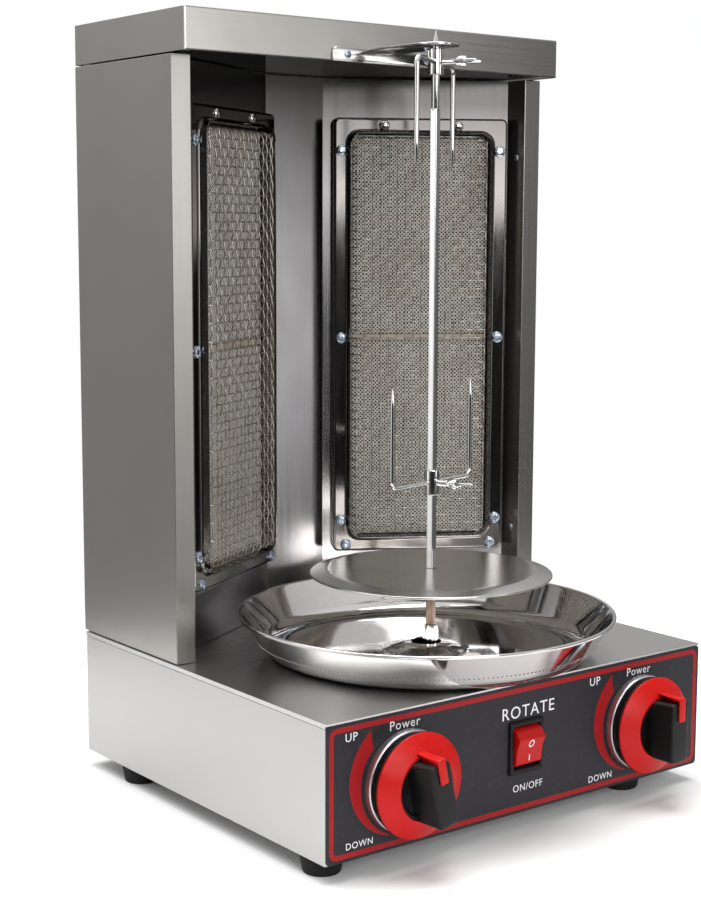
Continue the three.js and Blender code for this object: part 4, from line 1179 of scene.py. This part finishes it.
@dataclass
class Burner:
    """One infrared burner: pressed frame with a beaded window, two plaques, wire cloth, screws."""

    side: Side
    frame_size: tuple[float, float] = (137, 340)
    window: tuple[float, float] = (110.8, 315.5)
    stand: float = 11
    lip: float = 6.4
    corner: float = 4.5
    window_corner: float = 9
    plaque: tuple[float, float] = (106, 152.6)
    plaque_stand: float = 5
    plaque_back: float = 7
    seam: float = 5
    cloth_stand: float = 18.6
    pitch: float = 6.4
    wire_radius: float = 0.55
    bend: float = 6
    side_screw: tuple[float, float] = (62.2, 144.9)
    low_screw: tuple[float, float] = (58.1, -164.7)
    cap: tuple[float, float] = (28.9, 164)

    def place(self) -> tuple[float, Array]:
        """Turn about Z and the frame's middle on the wall, from the upper plaque's box."""
        turn = -self.side.value * WALL_SLOPE
        upper = centre_of(f"upper_plaque_{self.side.word}")
        lower = centre_of(f"lower_plaque_{self.side.word}")
        middle = (upper + lower) / 2
        inward = np.array([-math.sin(turn), math.cos(turn), 0])
        return turn, middle - inward

    def on_wall(self, flat: Surface) -> Surface:
        """A part drawn in X and Y with +Z out of the wall, stood on this burner's wall."""
        turn, middle = self.place()
        return flat.stood(*FRONT).placed(turn, middle)

    def build(self) -> None:
        """Makes frame, plaques, seam, cloth and screws, and dresses the box behind."""
        self.pan()
        self.plaques()
        self.cloth()
        self.screws()
        word = self.side.word
        dress(ALUMINISED, f"plenum_{word}", f"venturi_{word}")
        dress(BRASS, f"gas_jet_{word}")

    def pan(self) -> None:
        """The frame: round the outer edge, over the face, up the bead and down into the window."""
        s, c, r = self.stand, self.corner, self.window_corner
        bead = s + self.lip
        outside = [(0, c, 0.3), (0, c, s - 2.2), (-0.7, c, s - 0.9), (-2.2, c - 1, s - 0.15),
                   (-3.6, c - 2, s), (-5, c - 2, s)]
        inside = [(8, r + 2.4, s), (6.4, r + 2, s), (4.8, r + 1.8, s + 0.3), (3.6, r + 1.4, s + 1),
                  (2.9, r + 1.2, s + 2.2), (2.5, r + 1, bead - 1.2), (2.1, r + 0.9, bead - 0.3),
                  (1.3, r + 0.6, bead), (0.5, r + 0.3, bead - 0.3), (0, r, bead - 1.2), (0, r, 0.3)]
        rings = nested(self.frame_size, outside) + nested(self.window, inside)
        put(f"pressed_frame_{self.side.word}", self.on_wall(ring_stack(rings, True, 12)), PAN,
            "base", (f"burner_frame_{self.side.word}",), crease=40)

    def plaques(self) -> None:
        """Each plaque is a block with soft edges and its own map in millimetres, and a metal seam."""
        front = self.plaque_stand
        middle = self.place()[1]
        for word in ("upper", "lower"):
            node = f"{word}_plaque_{self.side.word}"
            rings = [(0, 1, -self.plaque_back), (0, 1, front - 0.6), (-1.2, 0.8, front)]
            block = ring_stack(nested(self.plaque, rings), steps=4)
            block.uv = block.points[:, :2].copy()
            raised = Surface(block.points + [0, centre_of(node)[2] - middle[2], 0], block.faces, block.uv)
            put(f"pierced_{node}", self.on_wall(raised), CREAM, "base", (node,))
        rings = [(0, 0.3, 2), (0, 0.3, front + 0.4), (-0.8, 0.3, front + 0.7)]
        strip = ring_stack(nested((self.plaque[0], self.seam), rings), steps=3)
        put(f"plaque_seam_{self.side.word}", self.on_wall(strip), SEAM, "base")

    def curtain(self, s: Array, half: float, floor: float) -> tuple[Array, Array]:
        """The cloth's bent section: flat at the top, a round shoulder, then straight down.

        Args:
            s: distance along the cloth from its middle, in millimetres.
            half: half of the cloth's width between its straight sides.
            floor: how far down the straight side goes below the top.

        Returns:
            Distance across and height below the top for each s.
        """
        r = self.bend
        flat = half - r
        turned = np.clip((np.abs(s) - flat) / r, 0, math.pi / 2)
        down = np.clip(np.abs(s) - flat - r * math.pi / 2, 0, floor - r)
        across = np.sign(s) * (np.minimum(np.abs(s), flat) + r * np.sin(turned))
        return across, r * (1 - np.cos(turned)) + down

    def cloth(self) -> None:
        """Plain weave: each wire follows the bent section and waves over and under its neighbours.

        Offset along the section's normal = amplitude * cos(pi s / pitch + pi k), k the wire's number.
        """
        w, h = self.plaque[0], 2 * self.plaque[1] + self.seam
        top, floor = self.cloth_stand - self.wire_radius, self.cloth_stand - self.plaque_stand - 1.2
        wires = [*self.strands(w, h, top, floor, True), *self.strands(h, w, top, floor, False)]
        put(f"woven_cloth_{self.side.word}", self.on_wall(joined(wires)), CLOTH, "base",
            (f"wire_mesh_{self.side.word}",), crease=80)

    def strands(self, width: float, length: float, top: float, floor: float,
                upright: bool) -> list[Surface]:
        """The wires that run one way.

        Args:
            width: the cloth's width across these wires.
            length: its length along them.
            top: height of the cloth's middle above the wall.
            floor: height of the straight sides.
            upright: the wires run up, not across.

        Returns:
            One surface for each wire.
        """
        p, amplitude = self.pitch, self.wire_radius * 0.92
        flat, r = width / 2 - self.bend, self.bend
        count = int((flat + r) // p)
        starts = np.arange(-count, count + 1) * p
        reach = length / 2 - r + r * math.pi / 2 + floor - r
        s = np.arange(-reach, reach + 1e-6, p / 4)
        along, down = self.curtain(s, length / 2, floor)
        lean = np.clip((np.abs(s) - (length / 2 - r)) / r, 0, math.pi / 2) * np.sign(s)
        side = (1.0, 0, 0) if upright else (0, 1.0, 0)
        made = []
        for k, start in zip(range(-count, count + 1), starts):
            across, sunk = (float(v) for v in self.curtain(np.array(start), width / 2, floor))
            keep = slice(None) if abs(across) < flat else np.abs(s) < length / 2 - 2
            wave = amplitude * np.cos(math.pi * s / p + math.pi * (k + (0 if upright else 1)))
            y = along + wave * np.sin(lean)
            z = top - down - sunk + wave * np.cos(lean)
            x = np.full(len(s), across)
            path = np.stack([x, y, z] if upright else [y, x, z], -1)[keep]
            made.append(wire(path, self.wire_radius, side, 6))
        return made

    def screws(self) -> None:
        """Zinc cross-heads round the frame, and two domed nickel heads at its top."""
        (x, z), (low_x, low_z) = self.side_screw, self.low_screw
        sides = [(a, b) for a in (-x, x) for b in (-z, 0, z)]
        bottom = [(-low_x, low_z), (low_x, low_z)]
        head = cross_head(4.3, 2.3)
        places = [(x, z, self.stand) for x, z in sides + bottom]
        put(f"frame_screws_{self.side.word}", self.on_wall(copies(head, places)), ZINC, "base")
        dot = lathe(dome(4.2, 2.4, 0.5), 32)
        places = [(x, self.cap[1], self.stand) for x in (-self.cap[0], self.cap[0])]
        put(f"frame_caps_{self.side.word}", self.on_wall(copies(dot, places)), BRIGHT, "base")


@dataclass
class Spit:
    """The turning parts: fluted socket, square spit, meat disc, two forks and their screws."""

    head: tuple[float, float, float, float] = (18.5, 5.75, 3.9, 4)
    side: float = 5.4
    turn: float = 18.7
    neck: float = 2.8
    neck_length: float = 41.5
    point: float = 9.6
    stop: tuple[float, float] = (6.5, 3.7)
    plate: tuple[float, float] = (74.5, 86.3)
    plate_sheet: float = 1.5
    hub: tuple[float, float] = (4.1, 8)
    fork_reach: float = 46
    fork_wire: float = 1.75
    tine: float = 70
    collar: tuple[float, float, float] = (5.6, 4.1, 18)
    screw_start: float = 3.9
    screw_hub: float = 14.9

    def axis(self) -> Array:
        """X and Y of the spit's axis."""
        return centre_of("drive_socket")[:2]

    def build(self) -> None:
        """Makes every piece."""
        self.socket()
        self.rod()
        self.disc()
        for word, turn, up in (("top", 34.0, -1), ("bottom", 13.3, 1)):
            self.fork(word, turn, up)
            self.screw(word, turn)

    def on_axis(self, part: Surface, turn: float, level: float) -> Surface:
        """A part turned in degrees and raised to a level on the spit's axis."""
        return part.placed(math.radians(turn), (*self.axis(), level))

    def socket(self) -> None:
        """The fluted head with a rounded top round its square pocket, and the shaft below."""
        low, high = low_of("drive_socket")[2], high_of("drive_socket")[2]
        length, r, pocket, shaft = self.head
        foot, floor = high - length, high - 13.5
        corners = [(0, foot), (r, foot), (r, high - 3), (r - 1.2, high), (pocket, high), (pocket, floor),
                   (0, floor)]
        head = lathe(rounded(corners, [0.5, 1.5, 1.1, 0.3, 0.3], 5), 128, (8, 0.9))
        shaft = lathe([(0, low), (shaft, low), (shaft, foot + 1), (0, foot + 1)], 40)
        put("fluted_socket", self.on_axis(joined([head, shaft]), self.turn, 0), CHROME, "drive",
            ("drive_socket",), crease=50)

    def rod(self) -> None:
        """The square rod with soft edges, its round neck and point, and the stop under the disc."""
        low, high = low_of("spit")[2], high_of("spit")[2]
        neck = high - self.point - 0.8 - self.neck_length
        disc_low = low_of("meat_disc")[2]
        radius, height = self.stop
        stop_top = disc_low - 0.3
        full = (self.side, self.side)
        seat = stop_top - height / 2
        rings = [(0, 0.55, seat), (0, 0.55, neck - 0.6), (-1.0, 1.6, neck)]
        square = ring_stack(nested(full, rings), steps=5)
        rings = [(-0.8, 0.3, low), (0, 0.55, low + 0.5), (0, 0.55, seat)]
        foot = ring_stack(nested(full, rings), steps=5)
        # The foot below the disc takes the darker finish: painted shade under the disc.
        put("shaded_spit_foot", self.on_axis(foot, self.turn, 0), SHADED_ROD, "drive", crease=38)
        tip = high - self.point + 0.8
        profile = [(0, neck - 2), (self.neck, neck - 2), (self.neck, tip - 0.8), (self.neck - 0.3, tip),
                   (0.35, high - 0.25), (0, high)]
        point = lathe(rounded(profile, [0.1, 0.4, 0.4, 0.2], 4), 40)
        flange = [(0, stop_top - height), (radius, stop_top - height), (radius, stop_top), (0, stop_top)]
        collar = lathe(rounded(flange, [0.6, 0.6], 4), 48)
        put("square_spit", self.on_axis(joined([square, point, collar]), self.turn, 0), CHROME, "drive",
            ("spit",), crease=38)

    def disc(self) -> None:
        """The meat disc: flat top, pressed rim a step lower, and the hub that slides on the spit."""
        high, low = high_of("meat_disc")[2], low_of("meat_disc")[2]
        (flat, rim), (bore, hub), sheet, step = self.plate, self.hub, self.plate_sheet, 2.7
        corners = [(bore, high), (flat, high), (rim, high - step), (rim, high - step - sheet),
                   (flat, high - sheet), (hub, high - sheet), (hub, low), (bore, low), (bore, high)]
        part = lathe(rounded(corners, [1.8, 0.6, 0.6, 1.8, 0.8, 0.6, 0.4], 5), 160)
        put("pressed_disc", self.on_axis(part, 0, 0), DISC, "disc", ("meat_disc",), crease=25)

    def fork(self, word: str, turn: float, up: int) -> None:
        """A collar with two bent wires, each ground to a point.

        Args:
            word: top or bottom.
            turn: degrees about the spit.
            up: 1 when the tines point up, -1 when they point down.
        """
        outer, bore, height = self.collar
        level = centre_of(f"{word}_fork_screw")[2]
        half = height / 2
        corners = [(bore, -half), (outer, -half), (outer, half), (bore, half), (bore, -half)]
        collar = lathe(rounded(corners, [0.7, 0.7, 0.4], 5), 64)
        parts = [collar]
        for side in (-1, 1):
            out = side * self.fork_reach
            path = rounded([(side * (bore + 0.6), 0, 0), (out, 0, 0), (out, 0, up * self.tine)], 6.0, 10)
            fill = np.linspace(0, 1, 24)[1:-1, None]
            straight = path[-2] + (path[-1] - path[-2]) * fill
            path = np.vstack([path[:-1], straight, path[-1:]])
            left = self.tine - np.abs(path[:, 2])
            radius = self.fork_wire * np.clip(0.12 + left / 13, 0, 1) ** 0.8
            radius[np.abs(path[:, 0]) < self.fork_reach - 8] = self.fork_wire
            parts.append(wire(path, radius, (0, 1, 0), 16))
        put(f"bent_{word}_fork", self.on_axis(joined(parts), turn, level), CHROME, f"{word}_fork",
            (f"{word}_fork",), crease=40)

    def screw(self, word: str, turn: float) -> None:
        """A wing screw out of the collar along the fork's -Y: threaded shank, hub, two wings."""
        level = centre_of(f"{word}_fork_screw")[2]
        start, hub = self.screw_start, self.screw_hub
        ridge = np.arange(start + 0.4, hub, 0.35)
        thread = np.stack([1.75 + 0.25 * (np.arange(len(ridge)) % 2), ridge], -1)
        front = [(2, hub), (3.6, hub + 0.4), (3.6, hub + 6.2), (3.0, hub + 7), (0, hub + 7)]
        corners = np.vstack([[(0, start), (1.5, start)], thread, front])
        shank = lathe(corners, 32).stood(*FRONT)
        end = start + 27
        wing = [(1.6, hub + 1), (9, hub + 7), (8.6, end - 1), (7.4, end), (5.6, end - 0.6), (2, hub + 6.5),
                (1.6, hub + 1)]
        plan = rounded(wing, [1.5, 0.8, 0.6, 0.8, 1.0], 5)[:-1]
        blade = slab(plan, 1.8, 0.5)
        wings = [blade.stood((x, 0, 0), (0, -1, 0), (0, 0, 1), (0, 0, -0.9)) for x in (1, -1)]
        put(f"wing_screw_{word}", self.on_axis(joined([shank, *wings]), turn, level), CHROME,
            f"{word}_fork_screw", (f"{word}_fork_screw",), crease=40)


@dataclass
class DripTray:
    """The deep drawn tray: raised dome with a hole, round corner, flared wall, rolled rim, dots."""

    rim: float = 134.8
    floor: float = 110.5
    sheet: float = 1
    hole: float = 11
    dome: tuple[float, float] = (30, 5.5)
    dot_pitch: float = 3.2
    dots: tuple[float, float] = (11.3, 9.8)

    def build(self) -> None:
        """Makes the tray as one turned sheet, and the row of pressed dots on its wall, darker as painted
        shade.
        """
        low, high = low_of("drip_tray")[2], high_of("drip_tray")[2]
        middle = centre_of("drip_tray")[:2]
        inside, r, s = low + self.sheet, self.rim, self.sheet
        reach, rise = self.dome
        upper = [(self.hole, inside + rise), (self.hole + 6, inside + rise - 0.4), (reach - 4, inside + 2),
                 (reach, inside), (self.floor, inside), (self.floor + 7, inside + 4.2),
                 (r - 3.3, high - 1.4), (r - 2.4, high), (r - 0.6, high), (r, high - 0.9),
                 (r - 0.5, high - 2.6), (r - 2.1, high - 2.8)]
        lower = [(r - 3.3 + 0.75 * s, high - 2.1), (self.floor + 7 + 0.75 * s, inside + 4.2 - 0.5),
                 (self.floor + 0.2, low), (reach, low), (reach - 4, low + 2),
                 (self.hole + 6, low + rise - 0.4), (self.hole, low + rise), (self.hole, inside + rise)]
        radii = [3, 2.5, 4, 4, 6, 1.2, 0.6, 0.6, 0.5, 0.6, 0.5, 0.8, 6, 3, 4, 2.5, 2, 0.1]
        profile = rounded(upper + lower, radii, 6)
        profile[:, 1] = np.maximum(profile[:, 1], low)
        put("drawn_tray", lathe(profile, 192).placed(0, (*middle, 0)), TRAY, "tray", ("drip_tray",),
            crease=50)
        out, up = self.dots
        count = int(2 * math.pi * (self.floor + 9) / self.dot_pitch)
        t = np.arange(count) * 2 * math.pi / count
        ring = np.stack([np.cos(t), np.sin(t)], -1) * (self.floor + out) + middle
        places = np.column_stack([ring, np.full(count, inside + up)])
        bead = lathe([(0, -0.7), (0.7, -0.3), (0.7, 0.3), (0, 0.7)], 8)
        # The dots take the darker pan finish: painted shade of the pressed dents.
        put("tray_dots_painted_shade", copies(bead, places), PAN, "tray")


@dataclass
class Works:
    """What is inside the base and at the back: gas line, taps, motor, nozzle and cord gland."""

    def build(self) -> None:
        """Dresses the kept nodes."""
        dress(IRON, "gas_manifold", "motor")
        dress(ZINC, "motor_bracket", "valve_stem_left", "valve_stem_right")
        dress(BRASS, "gas_inlet", "gas_valve_left", "gas_valve_right", "gas_tube_left", "gas_tube_right")
        dress(BLACK, "cord_gland")


@dataclass
class Studio:
    """Pale floor, soft lights and the camera."""

    place: tuple[float, float, float] = (-0.7652, -0.9372, 0.4043)
    yaw: float = 0.6566
    pitch: float = 0.1321
    roll: float = 0.0031
    lens: float = 67.25
    aim: tuple[float, float, float] = (0, 0, 0.25)
    floor_radius: float = 0.62
    matt_share: float = 0.7

    def build(self) -> None:
        """Makes the camera, the floor, the lights and the surroundings."""
        self.camera()
        self.floor()
        self.light("key", (-0.9, 0.7, 2.2), 1.5, 26)
        self.light("front", (-0.5, -2.3, 1.0), 1.2, 25)
        self.light("top", (0.15, 0.05, 2.3), 1.2, 46)
        bpy.context.scene.view_settings.view_transform = "Standard"
        self.surroundings()

    def camera(self) -> None:
        """Looks along yaw from +Y towards +X, pitched down, with a slight roll."""
        cy, sy = math.cos(self.yaw), math.sin(self.yaw)
        cp, sp = math.cos(self.pitch), math.sin(self.pitch)
        ahead = np.array([sy * cp, cy * cp, -sp])
        right = np.array([cy, -sy, 0.0])
        up = np.cross(right, ahead)
        cr, sr = math.cos(self.roll), math.sin(self.roll)
        axes = np.stack([cr * right + sr * up, -sr * right + cr * up, -ahead], 1)
        data = bpy.data.cameras.new("camera")
        data.lens = self.lens
        data.sensor_width = 36
        eye = bpy.data.objects.new("camera", data)
        eye.matrix_world = Matrix.Translation(self.place) @ Matrix(axes.tolist()).to_4x4()
        bpy.context.collection.objects.link(eye)
        bpy.context.scene.camera = eye

    def floor(self) -> None:
        """A round pale sheet under the object."""
        t = np.linspace(0, 2 * math.pi, 96, endpoint=False)
        rim = np.stack([np.cos(t), np.sin(t), 0 * t], -1) * self.floor_radius
        mesh = bpy.data.meshes.new("floor")
        mesh.from_pydata(rim.tolist(), [], [list(range(96))])
        sheet = bpy.data.objects.new("floor", mesh)
        bpy.context.collection.objects.link(sheet)
        pale = bpy.data.materials.new("pale floor")
        pale.use_nodes = True
        shader = pale.node_tree.nodes["Principled BSDF"]
        shader.inputs["Base Color"].default_value = colour("#eeeeee")
        shader.inputs["Roughness"].default_value = 0.7
        mesh.materials.append(pale)

    def light(self, name: str, place: tuple[float, float, float], size: float, power: float) -> None:
        """A square soft light aimed at the object's middle."""
        data = bpy.data.lights.new(name, "AREA")
        data.size = size
        data.energy = power
        lamp = bpy.data.objects.new(name, data)
        lamp.location = place
        aim = Vector(self.aim) - lamp.location
        lamp.rotation_euler = aim.to_track_quat("-Z", "Y").to_euler()
        bpy.context.collection.objects.link(lamp)

    def surroundings(self) -> None:
        """White to the eye; in reflections a grey room with soft panels and one dark side.

        Strength = a rise with height + lobes, each strength * (dot of direction and axis)^power, and
        less of it for the light that falls on matt surfaces, so the shadows stay deep.
        """
        world = bpy.data.worlds.new("room")
        bpy.context.scene.world = world
        world.use_nodes = True
        tree = world.node_tree
        tree.nodes.clear()
        direction = shade(tree, "TexCoord").outputs["Generated"]
        height = shade(tree, "SeparateXYZ", {0: direction}).outputs["Z"]
        links = {"Value": height, "From Min": -0.05, "From Max": 0.75, "To Min": 0.13, "To Max": 0.9}
        level = shade(tree, "MapRange", links).outputs[0]
        for axis, power, strength in ROOM_PANELS:
            along = shade(tree, "VectorMath", {0: direction, 1: axis}, operation="DOT_PRODUCT")
            ahead = shade(tree, "Math", {0: along.outputs["Value"], 1: 0.0}, operation="MAXIMUM")
            lobe = shade(tree, "Math", {0: ahead.outputs[0], 1: power}, operation="POWER")
            part = shade(tree, "Math", {0: lobe.outputs[0], 1: strength}, operation="MULTIPLY")
            level = shade(tree, "Math", {0: part.outputs[0], 1: level}, operation="ADD").outputs[0]
        path = shade(tree, "LightPath")
        links = {"Value": path.outputs["Is Diffuse Ray"], "To Min": 1.0, "To Max": self.matt_share}
        matt = shade(tree, "MapRange", links)
        level = shade(tree, "Math", {0: level, 1: 0.02}, operation="MAXIMUM").outputs[0]
        level = shade(tree, "Math", {0: level, 1: matt.outputs[0]}, operation="MULTIPLY").outputs[0]
        room = shade(tree, "Background", {"Color": (1, 1, 1, 1), "Strength": level})
        white = shade(tree, "Background", {"Color": (1, 1, 1, 1), "Strength": 1.0})
        both = shade(tree, "MixShader", {0: path.outputs["Is Camera Ray"], 1: room.outputs[0],
                                         2: white.outputs[0]})
        shade(tree, "OutputWorld", {"Surface": both.outputs[0]})


def main() -> None:
    """Builds every sub-assembly in order."""
    logging.basicConfig(level=logging.INFO, format="%(message)s")
    Studio().build()
    Base().build()
    ControlPanel().build()
    Knob(Side.LEFT, rest_turn=12).build()
    Knob(Side.RIGHT).build()
    RockerSwitch().build()
    Tower().build()
    for side in Side:
        Burner(side).build()
    spit = Spit()
    spit.build()
    SpitBracket().build(spit.axis())
    DripTray().build()
    Works().build()


if __name__ == "__main__":
    main()
